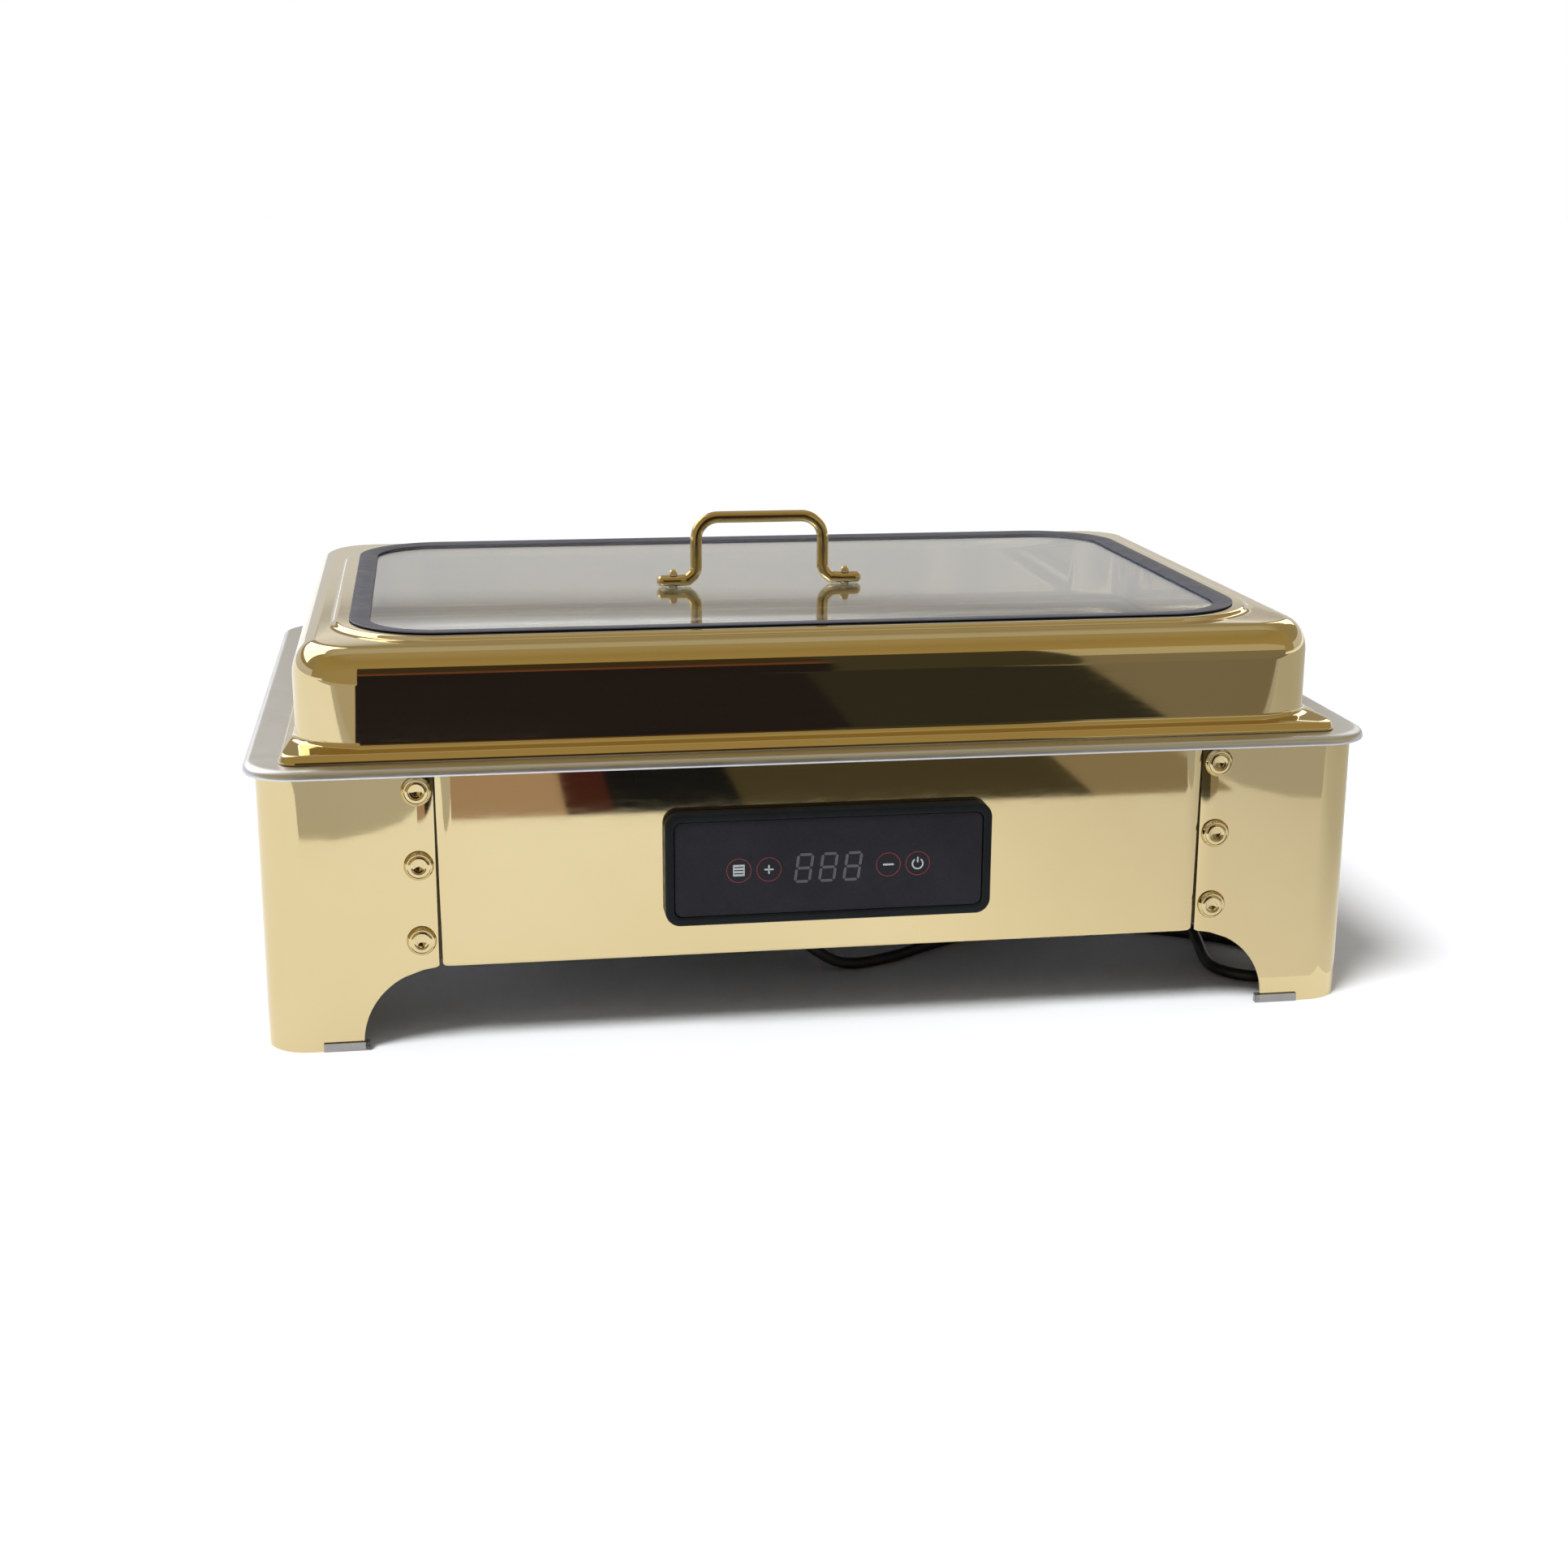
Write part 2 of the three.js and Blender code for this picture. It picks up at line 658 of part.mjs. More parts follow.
// The stretch that isn't coiled: down to the table, along it, once round behind the front right
// leg, over itself and back to the coil. Each point is [x, y, height over the lowest].
const route = [
  [-15, -112, 29.3],
  [-2, -112, 18.4],
  [11, -112, 7.9],
  [20, -112, 2.4],
  [31, -111, 0],
  [45, -107.5, 0],
  [60, -100, 0],
  [75, -89.5, 0],
  [95, -77, 0],
  [120, -66.5, 0],
  [148, -61, 0],
  [178, -62, 0],
  [208, -70, 0],
  [236, -83, 0],
  [262, -101, 0],
  [277.5, -117.9, 0],
  [287.4, -130.8, 0],
  [288.1, -147, 0],
  [279.4, -160.7, 0],
  [264.4, -166.9, 0],
  [248.5, -163.4, 0],
  [237.5, -151.4, 0],
  [235.4, -135.3, 0.3],
  [236.8, -121, 2.6],
  [238, -107, 6],
  [238.5, -92, 7.3],
  [238.5, -77, 6],
  [238, -62, 2.6],
  [236.5, -47, 0.3],
  [231.5, -30, 0],
  [220, -14.5, 0],
  [202, -6.5, 0],
  [174, -5.25, 0],
];

function cordCurve() {
  const points = route.map(([x, y, height]) => new THREE.Vector3(x, y, onTable + height));
  return new THREE.CatmullRomCurve3(points, false, 'centripetal');
}

const looseCord = cordCurve();
place('power_cord', rod(looseCord, cordRadius, 60, 8), cordBlack);

// The rest of the cord's length, in two layers of two turns.
const turns = 3.25;
const coiledLength = turns * 2 * Math.PI * coilRadius;
if (Math.abs(looseCord.getLength() + coiledLength - cordLength) > 40) {
  throw new Error(`the cord is ${looseCord.getLength() + coiledLength} mm long`);
}

const coilTop = 0.1 + 4 * cordRadius;
place('cord_coil', turned([
  [coilRadius - coilBand, 0.1],
  [coilRadius + coilBand, 0.1],
  [coilRadius + coilBand, coilTop],
  [coilRadius - coilBand, coilTop],
  [coilRadius - coilBand, 0.1],
], 36), cordBlack, [coilX, coilY, 0]);

// Moulded earthed plug that lies behind the coil, with its boot towards it.
function plug() {
  const boot = turned([
    [0, 0],
    [4.4, 0],
    [5.2, 4],
    [8, 17],
    [0, 17],
  ]).rotate([-90, 0, 0]);
  const body = upright(roundedRect(13, 9.5, 5), 16, 44);
  const blade = (x) => box(x - 0.8, x + 0.8, 43, 60, -3.2 + 2, 3.2 + 2);
  const earthPin = upright(circle(0, -5, 2.4), 43, 62, 5);
  return union(boot, body, blade(-6.4), blade(6.4), earthPin);
}

place('plug', plug(), cordBlack, [coilX - coilRadius - cordRadius, coilY + 26.2, 9.7]);

export default chafer;
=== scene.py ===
"""Looks of a rectangular electric buffet chafer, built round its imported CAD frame."""
from math import copysign, cos, hypot, pi, radians, sin, sqrt

import bmesh
import bpy
from mathutils import Matrix, Vector


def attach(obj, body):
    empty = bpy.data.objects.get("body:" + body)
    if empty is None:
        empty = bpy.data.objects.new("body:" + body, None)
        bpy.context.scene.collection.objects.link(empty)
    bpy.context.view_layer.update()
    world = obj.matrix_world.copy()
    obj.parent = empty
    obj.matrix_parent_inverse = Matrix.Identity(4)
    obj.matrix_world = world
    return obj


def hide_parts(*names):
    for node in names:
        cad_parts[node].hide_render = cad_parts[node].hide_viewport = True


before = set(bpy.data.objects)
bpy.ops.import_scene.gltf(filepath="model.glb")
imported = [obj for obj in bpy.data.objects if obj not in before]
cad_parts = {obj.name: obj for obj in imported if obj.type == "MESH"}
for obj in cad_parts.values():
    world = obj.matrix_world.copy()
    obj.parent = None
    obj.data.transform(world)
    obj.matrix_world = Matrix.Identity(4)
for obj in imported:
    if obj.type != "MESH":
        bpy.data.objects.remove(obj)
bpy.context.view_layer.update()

MM = 0.001

# ---- driving dimensions, in mm

GAP = 0.3
SHEET = 1.5
BODY_X, BODY_Y, BODY_CORNER, BODY_TOP = 294.2, 198.0, 22.0, 150.9
PANEL_BOTTOM = 43.3
SEAM_X, SEAM_Y = 204.5, 108.0
ARCH = 40.0
# Near a seam a sheet's face rolls back by ROLL_DROP over ROLL_REACH, and a panel's end leans in by
# LEAN_TOP, with LEAN_MORE added towards its foot.
ROLL_REACH, ROLL_DROP, LEAN_TOP, LEAN_MORE = 9.0, 1.1, 0.4, 1.1
SCREW_HEIGHTS = (58.5, 99.0, 138.5)
SCREW_INSET, SCREW_HEAD = 8.5, 7.7
RIM = (300.0, 206.0, 28.0)
RIM_TOP, LIP_DROP = 152.5, 5.0
LEDGE, LEDGE_TOP = (268.0, 165.5, 32.0), 149.5
BASIN_MOUTH, BASIN_FOOT, BASIN_FLOOR = (256.0, 153.5, 41.0), (244.8, 142.3, 39.0), 64.0
FOOD_FLANGE, FOOD_SEAT = (265.0, 162.5, 30.0), 149.8
FOOD_MOUTH, FOOD_FOOT, FOOD_FLOOR = (249.4, 146.9, 41.0), (236.8, 134.3, 39.0), 86.0
PRESSED = 1.2
WALL = (274.5, 187.0, 36.0)
LID_BOTTOM, LID_TOP, PLATEAU_TOP = 152.8, 209.5, 211.7
SHOULDER_X, SHOULDER_Z = 13.0, 18.0
FLANGE = (281.5, 194.0, 9.0)
PLATEAU = (252.0, 164.5, 58.0)
WINDOW = (241.0, 153.5, 45.0)
SEAL_OUTSIDE, SEAL_INSIDE = (246.0, 158.5, 50.0), (235.0, 147.5, 38.0)
GLASS_EDGE, GLASS_BOTTOM, GLASS_TOP = (239.0, 151.5, 42.0), 205.6, 210.8
HANDLE_X, HANDLE_Y, HANDLE_TOP = -11.0, -24.0, 254.5
ROD, UPRIGHT, STUD, STUD_HOLE = 3.4, 37.5, 51.0, 2.5
FOOT_BEND, TOP_BEND = 8.0, 13.0
FOOT_BOTTOM, FOOT_TOP = 211.1, 217.5
CONTROL_X, CONTROL_HALF_Z, CONTROL_Z = 87.0, 30.5, 92.4
BEZEL_BACK, BEZEL_FACE = -198.3, -205.7
CORD = 3.25
EXIT_X, EXIT_Y, COVER_UNDER = -15.0, -112.0, 47.2
COIL_X, COIL_Y, COIL_RADIUS = 150.0, 37.0, 39.0
PLUG_X, PLUG_START, PLUG_Z = COIL_X - COIL_RADIUS - CORD, COIL_Y + 26.2, 9.7

CORNERS = {
    "front_left": (-1, -1), "front_right": (1, -1), "back_left": (-1, 1), "back_right": (1, 1),
}


def in_scene(name, data):
    """A new object that has this data, linked into the scene."""
    obj = bpy.data.objects.new(name, data)
    bpy.context.scene.collection.objects.link(obj)
    return obj


# ---- camera

LENS, YAW, PITCH, ROLL = 50.5, radians(9.06), radians(14.79), radians(0.24)
CAMERA_AT = (-198.28, -1293.39, 428.11)


def make_camera():
    """The camera: turned right by YAW and down by PITCH, and rolled by ROLL."""
    forward = Vector((sin(YAW) * cos(PITCH), cos(YAW) * cos(PITCH), -sin(PITCH)))
    level = Vector((cos(YAW), -sin(YAW), 0))
    above = level.cross(forward)
    right = cos(ROLL) * level + sin(ROLL) * above
    up = cos(ROLL) * above - sin(ROLL) * level
    data = bpy.data.cameras.new("camera")
    data.lens, data.sensor_width = LENS, 36
    data.clip_start, data.clip_end = 0.05, 100
    camera = in_scene("camera", data)
    turn = Matrix((right, up, -forward)).transposed().to_4x4()
    camera.matrix_world = Matrix.Translation(Vector(CAMERA_AT) * MM) @ turn
    bpy.context.scene.camera = camera


make_camera()

# ---- node materials


def fill_ramp(node, stops):
    """Gives a colour ramp its stops, each a position and a colour."""
    elements = node.color_ramp.elements
    while len(elements) < len(stops):
        elements.new(0.5)
    for element, (position, colour) in zip(elements, stops):
        element.position, element.color = position, (*colour, 1)


class Nodes:
    """A new material's node tree, with short ways to add to it."""

    def __init__(self, name):
        self.material = bpy.data.materials.new(name)
        self.material.use_nodes = True
        self.tree = self.material.node_tree
        self.shader = self.tree.nodes["Principled BSDF"]
        self.output = self.tree.nodes["Material Output"]
        self.place = self.tree.nodes.new("ShaderNodeTexCoord").outputs["Object"]

    def add(self, kind, **values):
        node = self.tree.nodes.new(kind)
        for key, value in values.items():
            if key in node.inputs:
                node.inputs[key].default_value = value
            else:
                setattr(node, key, value)
        return node

    def link(self, source, target):
        self.tree.links.new(source, target)

    def stretched(self, scale):
        """Object coordinates stretched by scale, for grain that runs one way."""
        node = self.add("ShaderNodeMapping", Scale=scale)
        self.link(self.place, node.inputs["Vector"])
        return node.outputs["Vector"]

    def noise(self, scale, detail=3.0, roughness=0.5, where=None):
        node = self.add("ShaderNodeTexNoise", Scale=scale, Detail=detail, Roughness=roughness)
        self.link(where or self.place, node.inputs["Vector"])
        return node.outputs["Fac"]

    def ramp(self, source, stops):
        node = self.add("ShaderNodeValToRGB")
        fill_ramp(node, stops)
        self.link(source, node.inputs["Fac"])
        return node.outputs["Color"]

    def between(self, source, low, high):
        """A value that goes from low to high as source goes from 0.3 to 0.7."""
        node = self.add("ShaderNodeMapRange")
        for socket, value in zip(("From Min", "From Max", "To Min", "To Max"), (0.3, 0.7, low, high)):
            node.inputs[socket].default_value = value
        self.link(source, node.inputs["Value"])
        return node.outputs["Result"]

    def bump(self, height, distance, under=None):
        node = self.add("ShaderNodeBump", Strength=1.0, Distance=distance)
        self.link(height, node.inputs["Height"])
        if under is not None:
            self.link(under, node.inputs["Normal"])
        return node.outputs["Normal"]

    def set(self, **values):
        for key, value in values.items():
            socket = self.shader.inputs[key.replace("_", " ")]
            if isinstance(value, bpy.types.NodeSocket):
                self.link(value, socket)
            else:
                socket.default_value = value


def polished(name, low, high, rough, wave, brush=0.0, brush_scale=(4, 400, 400)):
    """Polished plate metal: faint uneven tone, fine wiping marks and a slightly wavy sheet."""
    m = Nodes(name)
    tone = m.noise(9, 4, 0.6)
    m.set(Base_Color=m.ramp(tone, [(0.3, low), (0.7, high)]), Metallic=1.0)
    wiping = m.noise(60, 5, 0.7, m.stretched((1, 1, 6)))
    m.set(Roughness=m.between(wiping, *rough))
    surface = m.bump(m.noise(7, 1, 0.4), wave * MM)
    if brush:
        grain = m.noise(1, 2, 0.6, m.stretched(brush_scale))
        surface = m.bump(grain, brush * MM, surface)
    m.set(Normal=surface)
    return m.material


def moulded(name, low, high, rough, grain, scale=900, specular=0.5):
    """Moulded plastic or rubber with a fine grain and slightly uneven gloss."""
    m = Nodes(name)
    cloud = m.noise(25, 4, 0.6)
    m.set(Base_Color=m.ramp(cloud, [(0.3, low), (0.7, high)]))
    m.set(Roughness=m.between(m.noise(120, 3, 0.6), *rough), Specular_IOR_Level=specular)
    m.set(Normal=m.bump(m.noise(scale, 2, 0.5), grain * MM))
    return m.material


def window_material():
    """Clear tempered glass that lets lamps through, with faint wiping marks."""
    m = Nodes("tempered_glass")
    haze = m.noise(14, 5, 0.7, m.stretched((1, 3, 1)))
    m.set(Base_Color=m.ramp(haze, [(0.3, (0.93, 0.96, 0.95)), (0.7, (0.97, 0.985, 0.98))]))
    m.set(Roughness=m.between(haze, 0.0, 0.012), IOR=1.6)
    m.shader.inputs["Transmission Weight"].default_value = 1.0
    clear = m.add("ShaderNodeBsdfTransparent", Color=(0.94, 0.96, 0.95, 1))
    path = m.add("ShaderNodeLightPath")
    mix = m.add("ShaderNodeMixShader")
    m.link(path.outputs["Is Shadow Ray"], mix.inputs["Fac"])
    m.link(m.shader.outputs["BSDF"], mix.inputs[1])
    m.link(clear.outputs["BSDF"], mix.inputs[2])
    m.link(mix.outputs["Shader"], m.output.inputs["Surface"])
    return m.material


GOLD = polished("polished_gold_steel", (0.68, 0.555, 0.305), (0.71, 0.585, 0.33), (0.03, 0.06), 0.05)
BRASS = polished("brass_gold_rod", (0.56, 0.43, 0.20), (0.62, 0.48, 0.23), (0.08, 0.15), 0.03,
                 0.003, (300, 300, 60))
STEEL = polished("bright_steel", (0.62, 0.62, 0.63), (0.70, 0.70, 0.71), (0.12, 0.22), 0.05,
                 0.004, (6, 300, 300))
RIM_STEEL = polished("buffed_rim_steel", (0.66, 0.68, 0.74), (0.73, 0.75, 0.81), (0.34, 0.44), 0.03,
                     0.003, (6, 300, 300))
GLIDE_STEEL = polished("dull_glide_steel", (0.31, 0.305, 0.30), (0.38, 0.375, 0.37), (0.22, 0.38), 0.05,
                       0.004, (6, 300, 300))
SATIN = polished("satin_pan_steel", (0.72, 0.74, 0.79), (0.78, 0.80, 0.84), (0.28, 0.40), 0.08,
                 0.006, (5, 260, 260))
DARK_STEEL = polished("plain_sheet_steel", (0.30, 0.30, 0.31), (0.40, 0.40, 0.41), (0.35, 0.55), 0.1,
                      0.01, (200, 8, 200))
# Near-black tab steel is painted shade: it makes the seams between panels and legs read dark.
SEAM_SHADE_STEEL = polished("tab_steel_painted_seam_shade", (0.07, 0.055, 0.035), (0.11, 0.09, 0.055), (0.4, 0.6), 0.1)
# The seal is dark rubber; the blue-grey lift in its colour is painted sheen.
SEAL = moulded("dark_silicone_painted_sheen", (0.055, 0.062, 0.09), (0.07, 0.078, 0.11), (0.36, 0.48), 0.01)
GLASS = window_material()
BLACK_PLASTIC = moulded("black_moulded_plastic", (0.006, 0.0075, 0.0085), (0.009, 0.011, 0.012),
                        (0.28, 0.42), 0.006, specular=0.12)
BLACK_GLASS = moulded("dark_overlay", (0.013, 0.013, 0.017), (0.018, 0.018, 0.023), (0.22, 0.34),
                      0.002, 400, specular=0.15)
SEGMENT = moulded("unlit_segments", (0.065, 0.068, 0.07), (0.09, 0.093, 0.095), (0.4, 0.5), 0.001)
RED_INK = moulded("dark_red_ink", (0.16, 0.016, 0.02), (0.24, 0.026, 0.03), (0.4, 0.5), 0.001)
PALE_INK = moulded("pale_grey_ink", (0.36, 0.38, 0.38), (0.50, 0.52, 0.52), (0.4, 0.5), 0.001)
CORD_RUBBER = moulded("black_cord_sheath", (0.008, 0.008, 0.009), (0.014, 0.014, 0.015),
                      (0.38, 0.52), 0.008)
BOARD = moulded("circuit_green", (0.01, 0.06, 0.02), (0.02, 0.10, 0.03), (0.35, 0.5), 0.02, 300)

# ---- mesh helpers


def piece(name, mesh_or_bmesh, material, body, nodes, angle=35, bevel=0.0):
    """A finished piece: smooth where it curves, sharp where it folds, and riding on its body."""
    if isinstance(mesh_or_bmesh, bmesh.types.BMesh):
        mesh = bpy.data.meshes.new(name)
        mesh_or_bmesh.to_mesh(mesh)
        mesh_or_bmesh.free()
    else:
        mesh = mesh_or_bmesh
    obj = in_scene(name, mesh)
    mesh.materials.append(material)
    mesh.shade_smooth()
    mesh.set_sharp_from_angle(angle=radians(angle))
    if bevel:
        edge = obj.modifiers.new("edge", "BEVEL")
        edge.width, edge.segments, edge.limit_method = bevel * MM, 2, "ANGLE"
        edge.angle_limit = radians(angle)
        edge.harden_normals = True
    weighted = obj.modifiers.new("flats", "WEIGHTED_NORMAL")
    weighted.keep_sharp, weighted.mode = True, "FACE_AREA"
    if nodes:
        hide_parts(*nodes)
    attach(obj, body)
    return obj


def closed(bm):
    """Merges doubled points and makes the faces point out."""
    bmesh.ops.remove_doubles(bm, verts=bm.verts, dist=1e-6)
    bmesh.ops.recalc_face_normals(bm, faces=bm.faces)
    return bm


def grown(outline, out, z):
    """A section: an outline (half x, half y, radius) widened by out, at height z."""
    return (outline[0] + out, outline[1] + out, outline[2] + out, z)


def outline_points(section, steps):
    """A rounded rectangle (half x, half y, radius, z), walked round corner by corner."""
    half_x, half_y, radius, z = section
    points = []
    for corner, (sx, sy) in enumerate(((1, 1), (-1, 1), (-1, -1), (1, -1))):
        for j in range(steps + 1):
            a = (corner + j / steps) * pi / 2
            points.append(Vector((sx * (half_x - radius) + radius * cos(a),
                                  sy * (half_y - radius) + radius * sin(a), z)))
    return points


def softened(sections, loop=True):
    """Rounds a profile: each item is a section, or (section, fillet), the length it is cut back by."""
    items = [(s, 0.0) if len(s) == 4 else s for s in sections]
    made = []
    for i, (section, fillet) in enumerate(items):
        if not fillet or not loop and i in (0, len(items) - 1):
            made.append(section)
            continue
        here = Vector(section)
        before, after = Vector(items[i - 1][0]), Vector(items[(i + 1) % len(items)][0])
        start = here + (before - here) * (fillet / span(here, before))
        end = here + (after - here) * (fillet / span(here, after))
        for k in range(5):
            t = k / 4
            made.append(tuple(start * (1 - t) ** 2 + here * (2 * t * (1 - t)) + end * t ** 2))
    return made


def span(a, b):
    """How far apart two sections are, in the profile's own plane."""
    return max(hypot(a[0] - b[0], a[3] - b[3]), 1e-6)


def upright(p):
    """From a shape drawn in X and Y to one that stands and faces -Y."""
    return Vector((p.x, -p.z, p.y))


def loft(sections, steps=24, loop=True, turn=None, offset=(0, 0, 0)):
    """A skin over rounded rectangles. A looped one is a ring; an open one is capped at its ends."""
    bm = bmesh.new()
    rings = []
    for section in softened(sections, loop):
        points = outline_points(section, steps)
        if turn:
            points = [turn(p) for p in points]
        rings.append([bm.verts.new((p + Vector(offset)) * MM) for p in points])
    pairs = list(zip(rings, rings[1:])) + ([(rings[-1], rings[0])] if loop else [])
    for a, b in pairs:
        for j in range(len(a)):
            k = (j + 1) % len(a)
            bm.faces.new((a[j], a[k], b[k], b[j]))
    if not loop:
        bm.faces.new(rings[0][::-1])
        bm.faces.new(rings[-1])
    return closed(bm)


def turned(profile, segments=48):
    """A profile of (radius, height) turned about Z, from axis to axis."""
    bm = bmesh.new()
    rings = []
    for radius, z in profile:
        if radius == 0:
            rings.append([bm.verts.new((0, 0, z * MM))])
            continue
        angles = [2 * pi * j / segments for j in range(segments)]
        rings.append([bm.verts.new((radius * cos(a) * MM, radius * sin(a) * MM, z * MM))
                      for a in angles])
    join_rings(bm, rings)
    return closed(bm)


def join_rings(bm, rings):
    """Skins neighbouring rings; a ring of one point becomes a tip."""
    for a, b in zip(rings, rings[1:]):
        count = max(len(a), len(b))
        for j in range(count):
            k = (j + 1) % count
            corners = [a[j % len(a)], a[k % len(a)], b[k % len(b)], b[j % len(b)]]
            unique = list(dict.fromkeys(corners))
            if len(unique) > 2:
                bm.faces.new(unique)


def swept(path, radii, sides=20, across=Vector((0, 1, 0)), power=2.0):
    """A tube along path. radii holds (half width along `across`, half height) at each point."""
    bm = bmesh.new()
    rings = []
    for i, (p, (wide, high)) in enumerate(zip(path, radii)):
        ahead = path[min(i + 1, len(path) - 1)] - path[max(i - 1, 0)]
        side = (across - ahead * (across.dot(ahead) / ahead.length_squared)).normalized()
        lift = side.cross(ahead).normalized()
        ring = []
        for j in range(sides):
            a = 2 * pi * j / sides
            c, s = cos(a), sin(a)
            shape = (abs(c) ** power + abs(s) ** power) ** (-1 / power)
            ring.append(bm.verts.new((p + side * (wide * c * shape) + lift * (high * s * shape)) * MM))
        rings.append(ring)
    join_rings(bm, rings)
    bm.faces.new(rings[0][::-1])
    bm.faces.new(rings[-1])
    return closed(bm)


def block(x0, x1, y0, y1, z0, z1, bm=None):
    bm = bm or bmesh.new()
    size = Vector((x1 - x0, y1 - y0, z1 - z0))
    middle = Vector((x1 + x0, y1 + y0, z1 + z0)) / 2
    matrix = Matrix.Translation(middle * MM) @ Matrix.Diagonal((*(size * MM), 1))
    bmesh.ops.create_cube(bm, size=1, matrix=matrix)
    return bm


def added(bm, other, matrix=None):
    """Joins other, moved by matrix, into bm."""
    mesh = bpy.data.meshes.new("part")
    other.to_mesh(mesh)
    other.free()
    if matrix is not None:
        mesh.transform(matrix)
    bm.from_mesh(mesh)
    bpy.data.meshes.remove(mesh)
    return bm


def placed(x, y, z, turn=None):
    """The matrix that turns a shape and then moves it by x, y and z."""
    matrix = Matrix.Translation(Vector((x, y, z)) * MM)
    return matrix @ turn if turn else matrix


def moved(bm, matrix):
    bmesh.ops.transform(bm, matrix=matrix, verts=bm.verts)
    return bm


def thickened(bm, shift):
    """Extrudes the faces by shift, in mm."""
    lifted = bmesh.ops.extrude_face_region(bm, geom=bm.faces[:])
    verts = [v for v in lifted["geom"] if isinstance(v, bmesh.types.BMVert)]
    bmesh.ops.translate(bm, vec=Vector(shift) * MM, verts=verts)
    bmesh.ops.recalc_face_normals(bm, faces=bm.faces)
    return bm


def eased_block(ease, *sides):
    """A block with rounded edges."""
    bm = block(*sides)
    bmesh.ops.bevel(bm, geom=bm.edges[:], offset=ease * MM, segments=2, affect="EDGES")
    return bm


def mirrored(bm, sign_x, sign_y):
    bmesh.ops.scale(bm, vec=(sign_x, sign_y, 1), verts=bm.verts)
    bmesh.ops.recalc_face_normals(bm, faces=bm.faces)
    return bm


# ---- mains cord

ON_TABLE = CORD + 0.1

# The stretch that isn't coiled, as (x, y, how far it is raised from lying on the table).
ROUTE = [
    (EXIT_X, EXIT_Y, 29.3), (-2, -112, 18.4), (11, -112, 7.9), (20, -112, 2.4), (31, -111, 0),
    (45, -107.5, 0), (60, -100, 0), (75, -89.5, 0), (95, -77, 0), (120, -66.5, 0),
    (148, -61, 0), (178, -62, 0), (208, -70, 0), (236, -83, 0), (262, -101, 0),
    (277.5, -117.9, 0), (287.4, -130.8, 0), (288.1, -147, 0), (279.4, -160.7, 0),
    (264.4, -166.9, 0), (248.5, -163.4, 0), (237.5, -151.4, 0), (235.4, -135.3, 0.3),
    (236.8, -121, 2.6), (238, -107, 6), (238.5, -92, 7.3), (238.5, -77, 6), (238, -62, 2.6),
    (236.5, -47, 0.3), (231.5, -30, 0), (220, -14.5, 0), (202, -6.5, 0), (174, -5.25, 0),
]
# Where a turn changes its place in the coil: turn number, place before and after, as
# (radius from the middle of the coil's turns, layer).
COIL_MOVES = [
    (0.89, (1, 0), (-1, 0)),
    (1.64, (-1, 0), (-1, 1)),
    (2.38, (-1, 1), (1, 1)),
]
COIL_TURNS = 3.25


def coil_place(turns):
    """How far out and how high the cord is after so many turns of its coil."""
    out, layer = COIL_MOVES[0][1]
    for at, before, after in COIL_MOVES:
        t = min(max((turns - at + 0.12) / 0.24, 0), 1)
        t = t * t * (3 - 2 * t)
        if t > 0:
            out = before[0] + (after[0] - before[0]) * t
            layer = before[1] + (after[1] - before[1]) * t
    return COIL_RADIUS + out * CORD, ON_TABLE + layer * 2 * CORD


def cord_points():
    """The whole lead's way: out of the body, along the table, round the coil and into the plug."""
    points = [Vector((x, y, ON_TABLE + height)) for x, y, height in ROUTE]
    steps = 26
    for i in range(1, int(COIL_TURNS * steps) + 1):
        turns = i / steps
        angle = -pi / 2 - 2 * pi * turns
        radius, z = coil_place(turns)
        points.append(Vector((COIL_X + radius * cos(angle), COIL_Y + radius * sin(angle), z)))
    points += [Vector((PLUG_X, COIL_Y + 13, 9.75)), Vector((PLUG_X, PLUG_START, PLUG_Z)),
               Vector((PLUG_X, PLUG_START + 4, PLUG_Z))]
    return points


def smooth_line(points, between):
    """Centripetal Catmull-Rom through the points."""
    ends = [2 * points[0] - points[1], *points, 2 * points[-1] - points[-2]]
    line = []
    for four in zip(ends, ends[1:], ends[2:], ends[3:]):
        t = [0.0]
        for p, q in zip(four, four[1:]):
            t.append(t[-1] + sqrt((q - p).length))
        for k in range(between):
            u = t[1] + (t[2] - t[1]) * k / between

            def mixed(p, q, i, j):
                return p * ((t[j] - u) / (t[j] - t[i])) + q * ((u - t[i]) / (t[j] - t[i]))

            first = [mixed(four[i], four[i + 1], i, i + 1) for i in range(3)]
            second = [mixed(first[i], first[i + 1], i, i + 2) for i in range(2)]
            line.append(mixed(*second, 1, 2))
    return [*line, points[-1]]


def power_cord():
    """The lead as a round curve, with its length in mm."""
    curve = bpy.data.curves.new("power_cord", "CURVE")
    curve.dimensions = "3D"
    curve.bevel_depth = CORD * MM
    curve.bevel_resolution = 6
    line = smooth_line(cord_points(), 3)
    spline = curve.splines.new("POLY")
    spline.points.add(len(line) - 1)
    for point, p in zip(spline.points, line):
        point.co = (*(p * MM), 1)
    curve.materials.append(CORD_RUBBER)
    obj = in_scene("power_cord_run", curve)
    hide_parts("power_cord", "cord_coil")
    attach(obj, "base")
    return obj, sum((b - a).length for a, b in zip(line, line[1:]))


